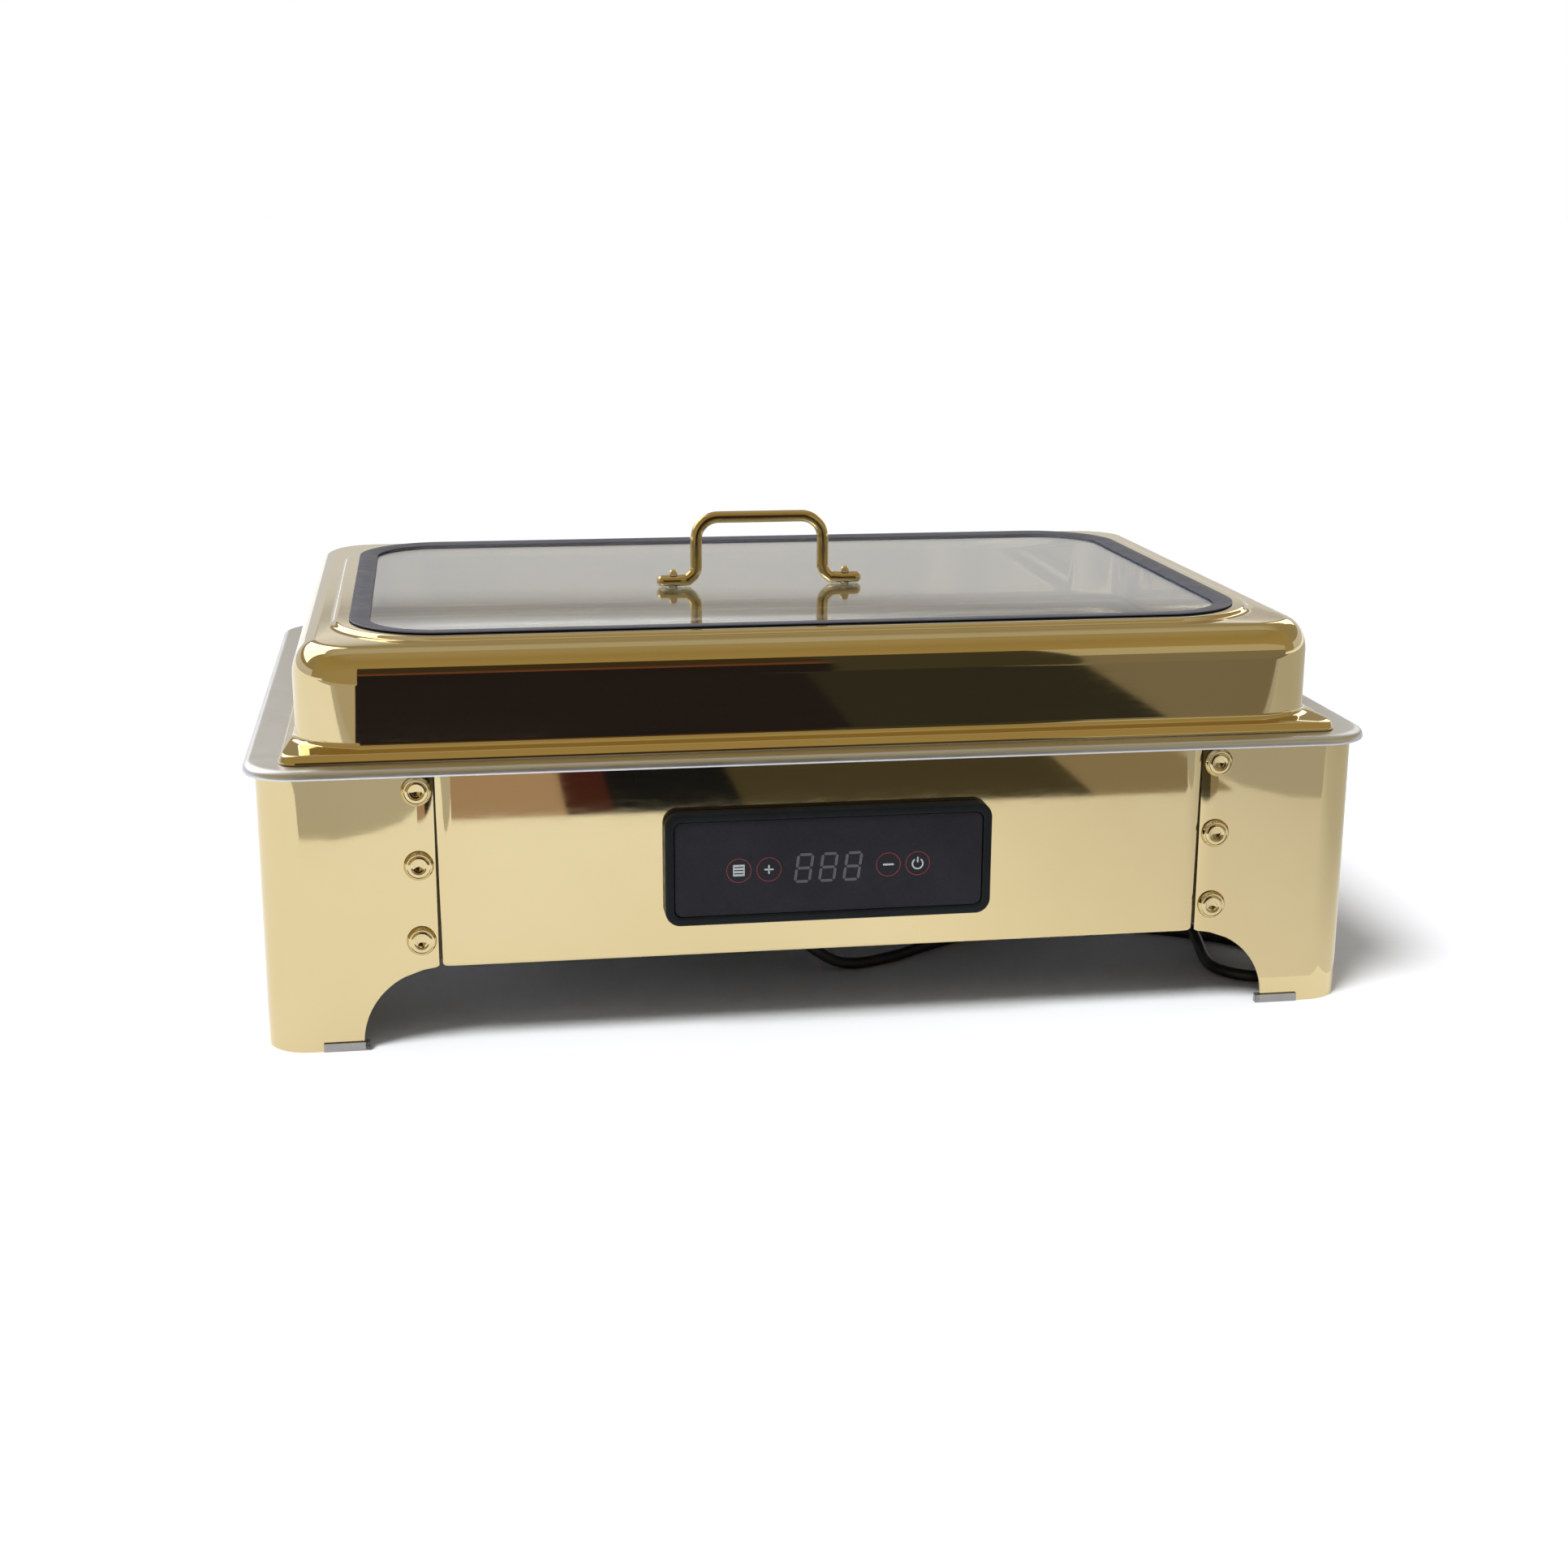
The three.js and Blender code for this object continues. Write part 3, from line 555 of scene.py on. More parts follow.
def strain_relief():
    """Tapered sleeve with soft ribs, square to the cord and cut level under the cover."""
    profile = [(0, 0.3), (4.1, 0.3), (4.6, 0.8)]
    for i in range(7):
        z, r = 3.4 + 3 * i, 4.8 + 0.33 * i
        profile += [(r + 0.15, z), (r + 0.2, z + 1.5), (r - 0.75, z + 1.9), (r - 0.75, z + 2.7)]
    profile += [(7.0, 25), (7.0, 32), (0, 32)]
    along_cord = Matrix.Rotation(radians(-50), 4, "Y")
    bm = moved(turned(profile, 36), placed(EXIT_X, EXIT_Y, 32.7, along_cord))
    whole = bm.verts[:] + bm.edges[:] + bm.faces[:]
    cut = bmesh.ops.bisect_plane(bm, geom=whole, plane_co=(0, 0, COVER_UNDER * MM), plane_no=(0, 0, 1),
                                 clear_outer=True)
    edges = [e for e in cut["geom_cut"] if isinstance(e, bmesh.types.BMEdge)]
    bmesh.ops.holes_fill(bm, edges=edges)
    return piece("strain_relief", closed(bm), CORD_RUBBER, "base", ["cord_strain_relief"],
                 bevel=0.2)


def plug():
    """Moulded earthed plug: ribbed boot, waisted body with grip ribs, two blades and a pin."""
    boot = [(0, 0), (4.0, 0), (4.4, 0.5)]
    for i in range(4):
        z, r = 2.4 + 3.2 * i, 5.0 + 0.75 * i
        boot += [(r, z), (r + 0.1, z + 1.5), (r - 0.9, z + 1.9), (r - 0.7, z + 2.7)]
    boot += [(7.9, 15.6), (8.0, 17), (0, 17)]
    lie = Matrix.Rotation(radians(-90), 4, "X")
    bm = added(bmesh.new(), turned(boot, 36), lie)
    body = loft([
        (9.5, 7.2, 4.6, 16), ((11.6, 8.6, 4.8, 18.5), 1.2), ((11.2, 8.2, 4.6, 24), 2),
        ((13, 9.5, 5, 33), 3), ((13, 9.5, 5, 44), 0.9),
    ], steps=8, loop=False)
    added(bm, body, lie)
    for y in (21.5, 24.5, 27.5):
        for side in (-1, 1):
            middle = side * 11.2
            added(bm, eased_block(0.4, middle - 0.9, middle + 0.9, y - 0.55, y + 0.55, -4.2, 4.2))
    sleeve = piece("plug_body", bm, CORD_RUBBER, "base", ["plug"])
    pins = bmesh.new()
    for x in (-6.4, 6.4):
        added(pins, eased_block(0.3, x - 0.75, x + 0.75, 43, 60, -1.2, 5.2))
    earth = [(0, 0), (2.4, 0), (2.4, 17), (2.0, 18.2), (1.2, 18.9), (0, 19)]
    added(pins, turned(earth, 24), placed(0, 43, -5, lie))
    blades = piece("plug_pins", pins, STEEL, "base", ())
    sleeve.matrix_world = blades.matrix_world = placed(PLUG_X, PLUG_START, PLUG_Z)
    return [sleeve, blades]


cord_object, cord_length = power_cord()
strain_relief()
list(plug())

# ---- legs and panels


def sheet_columns(path, bottoms, top=BODY_TOP, rows=(0.0, 0.25, 0.5, 0.75, 1.0)):
    """A sheet that stands on edge. path holds plan points and outward normals; bottoms the height
    of each column's lower end. The sheet's thickness goes inwards."""
    bm = bmesh.new()
    front, back = [], []
    for (point, normal), low in zip(path, bottoms):
        inner = point - normal * SHEET
        heights = [low + (top - low) * t for t in rows]
        front.append([bm.verts.new(Vector((point.x, point.y, z)) * MM) for z in heights])
        back.append([bm.verts.new(Vector((inner.x, inner.y, z)) * MM) for z in heights])
    last = len(rows) - 1
    for i in range(len(front) - 1):
        for k in range(last):
            bm.faces.new((front[i][k], front[i + 1][k], front[i + 1][k + 1], front[i][k + 1]))
            bm.faces.new((back[i][k + 1], back[i + 1][k + 1], back[i + 1][k], back[i][k]))
        for k in (0, last):
            bm.faces.new((front[i][k], back[i][k], back[i + 1][k], front[i + 1][k]))
    for i in (0, -1):
        for k in range(last):
            bm.faces.new((front[i][k], front[i][k + 1], back[i][k + 1], back[i][k]))
    return closed(bm)


# Distances from a seam where a sheet has columns of points: over its rolled edge, and over the arch.
EDGE_COLUMNS = [0, 0.5, 1, 2, 3.2, 4.6, 6.2, 8, ROLL_REACH]
ARCH_COLUMNS = [ARCH * sin(pi / 2 * k / 20) for k in range(6, 21)]


def seam_roll(distance):
    """How far a sheet's face falls back near its seam, and its slope there."""
    if distance >= ROLL_REACH:
        return 0.0, 0.0
    t = 1 - distance / ROLL_REACH
    return ROLL_DROP * t ** 2.4, 2.4 * ROLL_DROP * t ** 1.4 / ROLL_REACH


def corner_lift(distance):
    """How much a sheet's lower corner is rounded up near its seam."""
    return 0.9 * max(0, 1 - distance / 2.5) ** 2


def arch_height(distance):
    """The height of a leg's lower edge: a quarter arch from the seam down to the foot's end."""
    if distance < ARCH:
        return PANEL_BOTTOM - ARCH + sqrt(ARCH ** 2 - distance ** 2)
    return 0.0


def leg_sheet(sign_x, sign_y):
    """A sheet bent round a corner of the body, with an arch at either end."""
    path, bottoms = [], []
    columns = [*EDGE_COLUMNS, *ARCH_COLUMNS, ARCH + 0.01]

    def face(distances, seam, point_at, normal_at):
        for d in distances:
            fall, slope = seam_roll(d)
            path.append((point_at(seam + d, fall), normal_at(slope)))
            bottoms.append(arch_height(d) + corner_lift(d))

    face(columns, SEAM_X, lambda at, fall: Vector((at, BODY_Y - fall, 0)),
         lambda slope: Vector((-slope, 1, 0)).normalized())
    centre = Vector((BODY_X - BODY_CORNER, BODY_Y - BODY_CORNER, 0))
    for k in range(33):
        a = pi / 2 * (1 - k / 32)
        normal = Vector((cos(a), sin(a), 0))
        path.append((centre + normal * BODY_CORNER, normal))
        bottoms.append(0.0)
    face(columns[::-1], SEAM_Y, lambda at, fall: Vector((BODY_X - fall, at, 0)),
         lambda slope: Vector((1, -slope, 0)).normalized())
    return mirrored(sheet_columns(path, bottoms), sign_x, sign_y)


for side, (sx, sy) in CORNERS.items():
    piece(f"leg_sheet_{side}", leg_sheet(sx, sy), GOLD, "base", [f"leg_{side}"],
          angle=40, bevel=0.28)


def foot_glide(sign_x, sign_y):
    """Thin steel strip folded under and over a foot's inner end."""
    x0, x1 = SEAM_X + ARCH - 3, SEAM_X + ARCH + 20.8
    y0, y1 = BODY_Y - 2.6, BODY_Y + 1.1
    bm = block(x0, x1, y0, y1, 0, 1)
    for wall in ((y0, y0 + 0.8), (y1 - 0.8, y1)):
        block(x0, x1, *wall, 0.5, 4.8, bm)
    block(x0, x0 + 2.7, y0, y1, 0.5, 4.8, bm)
    return mirrored(bm, sign_x, sign_y)


for side, (sx, sy) in CORNERS.items():
    piece(f"foot_glide_{side}", foot_glide(sx, sy), GLIDE_STEEL, "base", [f"foot_clip_{side}"],
          bevel=0.25)


def panel_sheet(half):
    """A panel in its own frame: X along it, its face at Y = 0 towards -Y. It has rolled ends that
    lean in towards the folded lower edge."""
    bm = bmesh.new()
    end = half - GAP
    stations = [-end + d for d in EDGE_COLUMNS] + [end - d for d in reversed(EDGE_COLUMNS)]
    profile = [(0.0, BODY_TOP)] + [(0.0, PANEL_BOTTOM + 1.7 + k * 25) for k in range(3, -1, -1)]
    profile += [(1.7 - 1.7 * cos(a), PANEL_BOTTOM + 1.7 - 1.7 * sin(a))
                for a in (pi / 2 * k / 6 for k in range(1, 7))]
    profile.append((9.0, PANEL_BOTTOM))
    inner = [(9.0, PANEL_BOTTOM + SHEET), (2.2, PANEL_BOTTOM + SHEET), (SHEET, PANEL_BOTTOM + 2.2),
             (SHEET, BODY_TOP)]
    outline = profile + inner
    rings = []
    for x in stations:
        from_end = end - abs(x)
        fall = seam_roll(from_end)[0]
        lean = copysign(max(0, 1 - from_end / ROLL_REACH), x)
        ring = []
        for y, z in outline:
            lifted = z + corner_lift(from_end) if z < PANEL_BOTTOM + 3 else z
            low = (BODY_TOP - z) / (BODY_TOP - PANEL_BOTTOM)
            inward = lean * (LEAN_TOP + LEAN_MORE * low)
            ring.append(bm.verts.new(Vector((x - inward, y + fall, lifted)) * MM))
        rings.append(ring)
    join_rings(bm, rings)
    bm.faces.new(rings[0][::-1])
    bm.faces.new(rings[-1])
    return closed(bm)


def panel_tabs(half):
    """The strips that run from a panel's ends behind the leg sheets."""
    bm = bmesh.new()
    for side in (-1, 1):
        tab = sorted((side * (half - GAP - 5), side * (half - GAP + 22)))
        block(*tab, SHEET + GAP + 0.9, 2 * SHEET + GAP + 0.9, PANEL_BOTTOM + 4, BODY_TOP, bm)
    return bm


for name, half, distance, degrees_round in (
    ("front", SEAM_X, BODY_Y, 0), ("right", SEAM_Y, BODY_X, 90),
    ("back", SEAM_X, BODY_Y, 180), ("left", SEAM_Y, BODY_X, 270),
):
    spin = Matrix.Rotation(radians(degrees_round), 4, "Z") @ placed(0, -distance, 0)
    panel, tabs = moved(panel_sheet(half), spin), moved(panel_tabs(half), spin)
    piece(f"{name}_sheet", panel, GOLD, "base", [f"{name}_panel"], angle=40, bevel=0.25)
    # The tabs carry the painted seam shade.
    piece(f"{name}_tabs", tabs, SEAM_SHADE_STEEL, "base", (), bevel=0.25)

# ---- domed socket screws


def screw_mesh():
    """Low head with a bevelled edge, a raised ring and a hexagonal socket."""
    segments = 48
    bm = bmesh.new()
    rings = [[bm.verts.new((0, 0, -3 * MM))]]

    def ring(radius, z, hexagon=0.0):
        made = []
        for j in range(segments):
            a = 2 * pi * j / segments
            corner = cos(pi / 6) / cos((a + pi / 6) % (pi / 3) - pi / 6)
            r = radius * (1 + hexagon * (corner / cos(pi / 12) - 1))
            made.append(bm.verts.new((r * cos(a) * MM, r * sin(a) * MM, z * MM)))
        rings.append(made)

    for radius, z in ((1.9, -3), (1.9, 0.3), (SCREW_HEAD, 0.3), (SCREW_HEAD, 0.8), (7.45, 1.15),
                      (6.75, 2.3), (6.5, 2.55), (6.2, 2.6), (6.0, 2.45), (5.8, 2.4), (5.6, 2.5),
                      (5.3, 2.75), (4.7, 2.95), (4.1, 3.0), (3.8, 2.9), (3.5, 2.6), (3.3, 2.5)):
        ring(radius, z)
    ring(3.0, 2.48)
    ring(2.6, 2.4, 1.0)
    ring(2.5, 1.8, 1.0)
    ring(1.2, 1.5)
    rings.append([bm.verts.new((0, 0, 1.2 * MM))])
    join_rings(bm, rings)
    mesh = bpy.data.meshes.new("domed_screw")
    closed(bm).to_mesh(mesh)
    bm.free()
    return mesh


SCREW = screw_mesh()


def place_screw(name, node, position, outward, spin):
    """A copy of the screw whose head faces outward, turned by spin about its own axis."""
    mesh = SCREW.copy()
    facing = outward.to_track_quat("Z", "Y").to_matrix().to_4x4()
    mesh.transform(placed(*position, facing @ Matrix.Rotation(spin, 4, "Z")))
    piece(name, mesh, GOLD, "base", [node], angle=50)


for side, (sx, sy) in CORNERS.items():
    for i, z in enumerate(SCREW_HEIGHTS, 1):
        spin = 0.7 * i + 0.4 * sx
        place_screw(f"screw_face_{side}_{i}", f"face_screw_{side}_{i}",
                    (sx * (SEAM_X + SCREW_INSET), sy * BODY_Y, z), Vector((0, sy, 0)), spin)
        place_screw(f"screw_side_{side}_{i}", f"side_screw_{side}_{i}",
                    (sx * BODY_X, sy * (SEAM_Y + SCREW_INSET), z), Vector((sx, 0, 0)), spin)

# ---- pans

piece("water_pan_pressing", loft([
    (1, 1, 0.9, BASIN_FLOOR - PRESSED),
    (grown(BASIN_FOOT, PRESSED, BASIN_FLOOR - PRESSED), 10),
    (grown(BASIN_MOUTH, PRESSED, LEDGE_TOP - PRESSED), 2),
    (grown(LEDGE, PRESSED, LEDGE_TOP - PRESSED), 1),
    (grown(LEDGE, 3 + PRESSED, RIM_TOP - PRESSED), 1),
    (grown(RIM, -PRESSED, RIM_TOP - PRESSED), 1.6),
    (grown(RIM, -PRESSED, RIM_TOP - LIP_DROP + 0.8), 0),
    (grown(RIM, -1.9, RIM_TOP - LIP_DROP + 0.6), 0),
    (grown(RIM, -1.9, RIM_TOP - LIP_DROP), 0.3),
    (grown(RIM, 0, RIM_TOP - LIP_DROP), 0.9),
    (grown(RIM, 0, RIM_TOP), 3.6),
    (grown(LEDGE, 3, RIM_TOP), 1.2),
    (grown(LEDGE, 0, LEDGE_TOP), 1.2),
    (grown(BASIN_MOUTH, 0, LEDGE_TOP), 3),
    (grown(BASIN_FOOT, 0, BASIN_FLOOR), 11),
    (1, 1, 0.9, BASIN_FLOOR),
], loop=False), RIM_STEEL, "base", ["water_pan"], angle=45)

piece("food_pan_pressing", loft([
    (1, 1, 0.9, FOOD_FLOOR - PRESSED),
    (grown(FOOD_FOOT, PRESSED, FOOD_FLOOR - PRESSED), 10),
    (grown(FOOD_MOUTH, PRESSED, FOOD_SEAT), 1.5),
    ((*FOOD_FLANGE, FOOD_SEAT), 0.4),
    ((*FOOD_FLANGE, FOOD_SEAT + PRESSED), 0.5),
    (grown(FOOD_MOUTH, 0, FOOD_SEAT + PRESSED), 3),
    (grown(FOOD_FOOT, 0, FOOD_FLOOR), 11),
    (1, 1, 0.9, FOOD_FLOOR),
], loop=False), SATIN, "pan", ["food_pan"], angle=45)

# These keep their CAD shapes and only get a look.
for name, material in (
    ("top_frame", DARK_STEEL), ("heater_plate", DARK_STEEL), ("heating_element", DARK_STEEL),
    ("bottom_cover", DARK_STEEL), ("thermostat", STEEL), ("control_housing", BLACK_PLASTIC),
    ("control_board", BOARD), ("handle_screw_left", STEEL), ("handle_screw_right", STEEL),
):
    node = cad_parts[name]
    node.data.materials.clear()
    node.data.materials.append(material)

# ---- lid


def shoulder(inside):
    """The sections of the lid's round shoulder, for the face that lies `inside` the outer one."""
    sections = []
    for i in range(15):
        a = i / 14 * pi / 2
        inward = inside + (SHOULDER_X - inside) * (1 - cos(a))
        rise = (SHOULDER_Z - inside) * sin(a)
        sections.append((grown(WALL, -inward, LID_TOP - SHOULDER_Z + rise), 0))
    return sections


piece("lid_pressing", loft([
    (grown(FLANGE, 0, LID_BOTTOM), 0.3),
    (grown(FLANGE, 0, LID_BOTTOM + 0.9), 0.5),
    (grown(FLANGE, -1.7, LID_BOTTOM + 4.5), 0.8),
    (grown(WALL, 1.4, LID_BOTTOM + 6.1), 0.9),
    (grown(WALL, 0, LID_BOTTOM + 8.0), 1.2),
    *shoulder(0),
    (grown(PLATEAU, 3.6, LID_TOP), 0.9),
    (grown(PLATEAU, 1.2, PLATEAU_TOP), 1.1),
    ((*WINDOW, PLATEAU_TOP), 0.4),
    ((*WINDOW, PLATEAU_TOP - PRESSED), 0),
    (grown(PLATEAU, 0.6, PLATEAU_TOP - PRESSED), 0.8),
    (grown(PLATEAU, 3.4, LID_TOP - PRESSED), 0.8),
    *shoulder(PRESSED)[::-1],
    (grown(WALL, -PRESSED, LID_BOTTOM + 7.6), 1.0),
    (grown(WALL, 1.6, LID_BOTTOM + 4.6), 0.6),
    (grown(FLANGE, -3.0, LID_BOTTOM + 3.2), 0.6),
    (grown(FLANGE, -1.6, LID_BOTTOM), 0.3),
], steps=32), GOLD, "lid", ["lid_shell"], angle=60)

SEAL_LIP = PLATEAU_TOP + GAP
SEAL_FOOT = GLASS_BOTTOM - GAP
UNDER_SHEET = PLATEAU_TOP - PRESSED - GAP
piece("window_gasket", loft([
    ((*SEAL_OUTSIDE, SEAL_LIP), 0.2),
    ((*SEAL_OUTSIDE, SEAL_LIP + 0.8), 0.5),
    (grown(WINDOW, 0.5, SEAL_LIP + 0.8), 1.5),
    ((*SEAL_INSIDE, GLASS_TOP + GAP + 0.9), 0.4),
    ((*SEAL_INSIDE, GLASS_TOP + GAP), 0.2),
    (grown(GLASS_EDGE, GAP, GLASS_TOP + GAP), 0),
    (grown(GLASS_EDGE, GAP, SEAL_FOOT), 0),
    ((*SEAL_INSIDE, SEAL_FOOT), 0.2),
    ((*SEAL_INSIDE, SEAL_FOOT - 0.8), 0.3),
    (grown(WINDOW, 0, SEAL_FOOT - 0.8), 0.3),
    ((*SEAL_OUTSIDE, UNDER_SHEET - 0.8), 0.2),
    ((*SEAL_OUTSIDE, UNDER_SHEET), 0.2),
    (grown(WINDOW, -GAP, UNDER_SHEET), 0),
    (grown(WINDOW, -GAP, SEAL_LIP), 0),
]), SEAL, "lid", ["window_seal"], angle=50)

STUDS = {"left": HANDLE_X - STUD, "right": HANDLE_X + STUD}


def pane():
    """The window with its two stud holes and ground edges."""
    bm = bmesh.new()
    edge = [Vector((p.x, p.y)) for p in outline_points((*GLASS_EDGE, 0), 24)]
    turns = [2 * pi * k / 24 for k in range(24)]
    holes = [[Vector((x + STUD_HOLE * cos(a), HANDLE_Y + STUD_HOLE * sin(a))) for a in turns]
             for x in STUDS.values()]
    rims = []
    for loop in (edge, *holes):
        verts = [bm.verts.new((p.x * MM, p.y * MM, GLASS_BOTTOM * MM)) for p in loop]
        rims += [bm.edges.new((a, b)) for a, b in zip(verts, verts[1:] + verts[:1])]
    bmesh.ops.triangle_fill(bm, use_beauty=True, use_dissolve=False, edges=rims)
    return thickened(bm, (0, 0, GLASS_TOP - GLASS_BOTTOM))


piece("glass_pane", pane(), GLASS, "lid", ["window_glass"], bevel=0.35)

# ---- handle


def handle_line():
    """Centre line of the bent rod, with the half width and half height at each point."""
    foot_z, bar_z = FOOT_BOTTOM + ROD, HANDLE_TOP - ROD
    half = []
    for k in range(15):
        t = k / 14
        x = STUD + 9.5 - t * 18
        round_end = sqrt(max(0.0, 1 - max(0.0, (x - STUD - 6.3) / 3.25) ** 2))
        joined = min(1, max(0, STUD - 3 - x) / 5)
        wide = 4.2 * max(round_end, 0.05) - 0.8 * joined
        high = (3.2 + 0.2 * joined) * max(round_end ** 0.5, 0.2)
        half.append((x, FOOT_BOTTOM + 3.2 + 0.2 * joined, wide, high))
    for k in range(1, 15):
        a = pi / 2 * k / 14
        x = UPRIGHT + FOOT_BEND - FOOT_BEND * sin(a)
        z = foot_z + FOOT_BEND - FOOT_BEND * cos(a)
        if x < STUD - 9:
            half.append((x, z, ROD, ROD))
    for k in range(15):
        a = pi / 2 * k / 14
        half.append((UPRIGHT - TOP_BEND + TOP_BEND * cos(a), bar_z - TOP_BEND + TOP_BEND * sin(a),
                     ROD, ROD))
    both = half + [(-x, z, w, h) for x, z, w, h in reversed(half)]
    path = [Vector((HANDLE_X + x, HANDLE_Y, z)) for x, z, _, _ in both]
    return path, [(w, h) for _, _, w, h in both]


piece("bent_rod_handle", swept(*handle_line(), sides=28, power=2.2), BRASS, "lid", ["handle_rod"],
      angle=60)

for side, x in STUDS.items():
    crown = [(2.4 * cos(a), 1.4 + 2.0 * sin(a)) for a in (pi / 2 * k / 8 for k in range(8))]
    nut = turned([(0, 0.3), (2.4, 0.3), (2.6, 0.5), (2.6, 1.2), *crown, (0, 3.4)], 36)
    piece(f"dome_nut_{side}", moved(nut, placed(x, HANDLE_Y, FOOT_TOP)), GOLD, "lid",
          [f"handle_nut_{side}"], angle=50)

# ---- control unit

FACE = -BEZEL_FACE
FACE_OPENING = (CONTROL_X - 4.7, CONTROL_HALF_Z - 4.7, 4.3)
piece("control_frame", loft([
    ((CONTROL_X, CONTROL_HALF_Z, 8, FACE), 1.8),
    ((*FACE_OPENING, FACE), 1.0),
    ((*FACE_OPENING, FACE - 4.5), 0),
    ((CONTROL_X - 9, CONTROL_HALF_Z - 9, 3, FACE - 4.5), 0),
    ((CONTROL_X - 9, CONTROL_HALF_Z - 9, 3, -BEZEL_BACK), 0),
    ((CONTROL_X, CONTROL_HALF_Z, 8, -BEZEL_BACK), 0.3),
], steps=12, turn=upright, offset=(0, 0, CONTROL_Z)), BLACK_PLASTIC, "base", ["control_bezel"],
    angle=50)
OVERLAY = FACE - 1.3
piece("control_overlay", loft([
    (CONTROL_X - 5, CONTROL_HALF_Z - 5, 4, FACE - 4.2),
    ((CONTROL_X - 5, CONTROL_HALF_Z - 5, 4, OVERLAY), 0.35),
    (1, 1, 0.5, OVERLAY),
], steps=12, loop=False, turn=upright, offset=(0, 0, CONTROL_Z)), BLACK_GLASS, "base",
    ["control_glass"], angle=50)

INK = 0.12   # how far printed marks stand off the overlay


def printed(name, shapes, material):
    """Marks on the overlay from closed outlines in X and Z."""
    bm = bmesh.new()
    front = -(OVERLAY + INK)
    for shape in shapes:
        verts = [bm.verts.new(Vector((x, front, z)) * MM) for x, z in shape]
        bm.faces.new(verts)
    piece(name, thickened(bm, (0, 0.08, 0)), material, "base", ())


def arc_band(x, z, radius, width, start=0.0, end=2 * pi, steps=40):
    """Short quads that follow an arc."""
    quads = []
    for k in range(steps):
        a, b = (start + (end - start) * i / steps for i in (k, k + 1))
        quads.append([(x + r * cos(t), z + r * sin(t)) for r, t in (
            (radius, a), (radius, b), (radius - width, b), (radius - width, a))])
    return quads


def bar(x0, z0, x1, z1, width):
    """A segment with pointed ends from one place to the other."""
    along = Vector((x1 - x0, z1 - z0)).normalized()
    side = Vector((-along.y, along.x)) * (width / 2)
    a, b = Vector((x0, z0)), Vector((x1, z1))
    tip = along * (width / 2)
    return [tuple(p) for p in (a, a + tip + side, b - tip + side, b, b - tip - side, a + tip - side)]


def seven_segments(x, z, wide, high, slant, width):
    """A slanted seven-segment digit whose middle is at (x, z)."""
    def at(u, v):
        return x + u * wide / 2 + slant * v * high / 2, z + v * high / 2
    ends = [((-1, 1), (1, 1)), ((-1, 0), (1, 0)), ((-1, -1), (1, -1)),
            ((-1, 0), (-1, 1)), ((1, 0), (1, 1)), ((-1, -1), (-1, 0)), ((1, -1), (1, 0))]
    shapes = []
    for a, b in ends:
        (x0, z0), (x1, z1) = at(*a), at(*b)
        along = Vector((x1 - x0, z1 - z0)).normalized() * 0.35
        shapes.append(bar(x0 + along.x, z0 + along.y, x1 - along.x, z1 - along.y, width))
    return shapes


KEY_Z, KEY_RADIUS = 91.0, 6.6
KEYS = {"list": -48.3, "plus": -32.4, "minus": 31.3, "power": 47.1}
digits = []
for x in (-13.8, -0.8, 12.2):
    digits += seven_segments(x, KEY_Z, 7.6, 14.6, 0.14, 1.5)
printed("display_digits", digits, SEGMENT)
printed("key_rings", [q for x in KEYS.values() for q in arc_band(x, KEY_Z, KEY_RADIUS, 0.38)], RED_INK)


def stripe(x0, x1, z0, z1):
    return [(x0, z0), (x1, z0), (x1, z1), (x0, z1)]


def key_marks():
    """Generic list, plus, minus and power symbols."""
    x = KEYS["list"]
    marks = [stripe(x - 2.5, x + 2.5, KEY_Z + dz - 0.5, KEY_Z + dz + 0.6)
             for dz in (2.6, 0.9, -0.8, -2.5)]
    marks += [stripe(left, left + 0.55, KEY_Z - 3, KEY_Z + 3.2) for left in (x - 3.1, x + 2.5)]
    x = KEYS["plus"]
    marks.append(bar(x - 2.6, KEY_Z, x + 2.6, KEY_Z, 0.95))
    marks.append(bar(x, KEY_Z + 0.5, x, KEY_Z + 2.6, 0.95))
    marks.append(bar(x, KEY_Z - 2.6, x, KEY_Z - 0.5, 0.95))
    x = KEYS["minus"]
    marks.append(bar(x - 3.1, KEY_Z, x + 3.1, KEY_Z, 1.0))
    x = KEYS["power"]
    marks += arc_band(x, KEY_Z - 0.2, 3.2, 0.8, radians(125), radians(415), 24)
    marks.append(bar(x, KEY_Z + 0.3, x, KEY_Z + 3.7, 0.85))
    return marks


printed("key_symbols", key_marks(), PALE_INK)

# ---- floor, light and reflections


def stage_plane(name, corners, material):
    mesh = bpy.data.meshes.new(name)
    mesh.from_pydata(corners, [], [tuple(range(len(corners)))])
    mesh.materials.append(material)
    obj = in_scene(name, mesh)
    return obj


def lying(x0, x1, y0, y1, z=0.002):
    """The corners of a level rectangle, in metres."""
    return [(x0, y0, z), (x1, y0, z), (x1, y1, z), (x0, y1, z)]


def standing(x0, x1, z0, z1, y):
    """The corners of an upright rectangle, in metres."""
    return [(x0, y, z0), (x1, y, z0), (x1, y, z1), (x0, y, z1)]


def in_sky(azimuths, elevations, distance):
    """A patch of the room by its angles: azimuth from the front towards the right, and height."""
    corners = []
    for i, j in ((0, 0), (1, 0), (1, 1), (0, 1)):
        a, e = radians(azimuths[i]), radians(elevations[j])
        corners.append((distance * sin(a) * cos(e), -distance * cos(a) * cos(e),
                        0.2 + distance * sin(e)))
    return corners


def glowing(name, colour):
    m = Nodes(name)
    glow = m.add("ShaderNodeEmission", Color=(*colour, 1), Strength=1.0)
    m.link(glow.outputs["Emission"], m.output.inputs["Surface"])
    return m.material


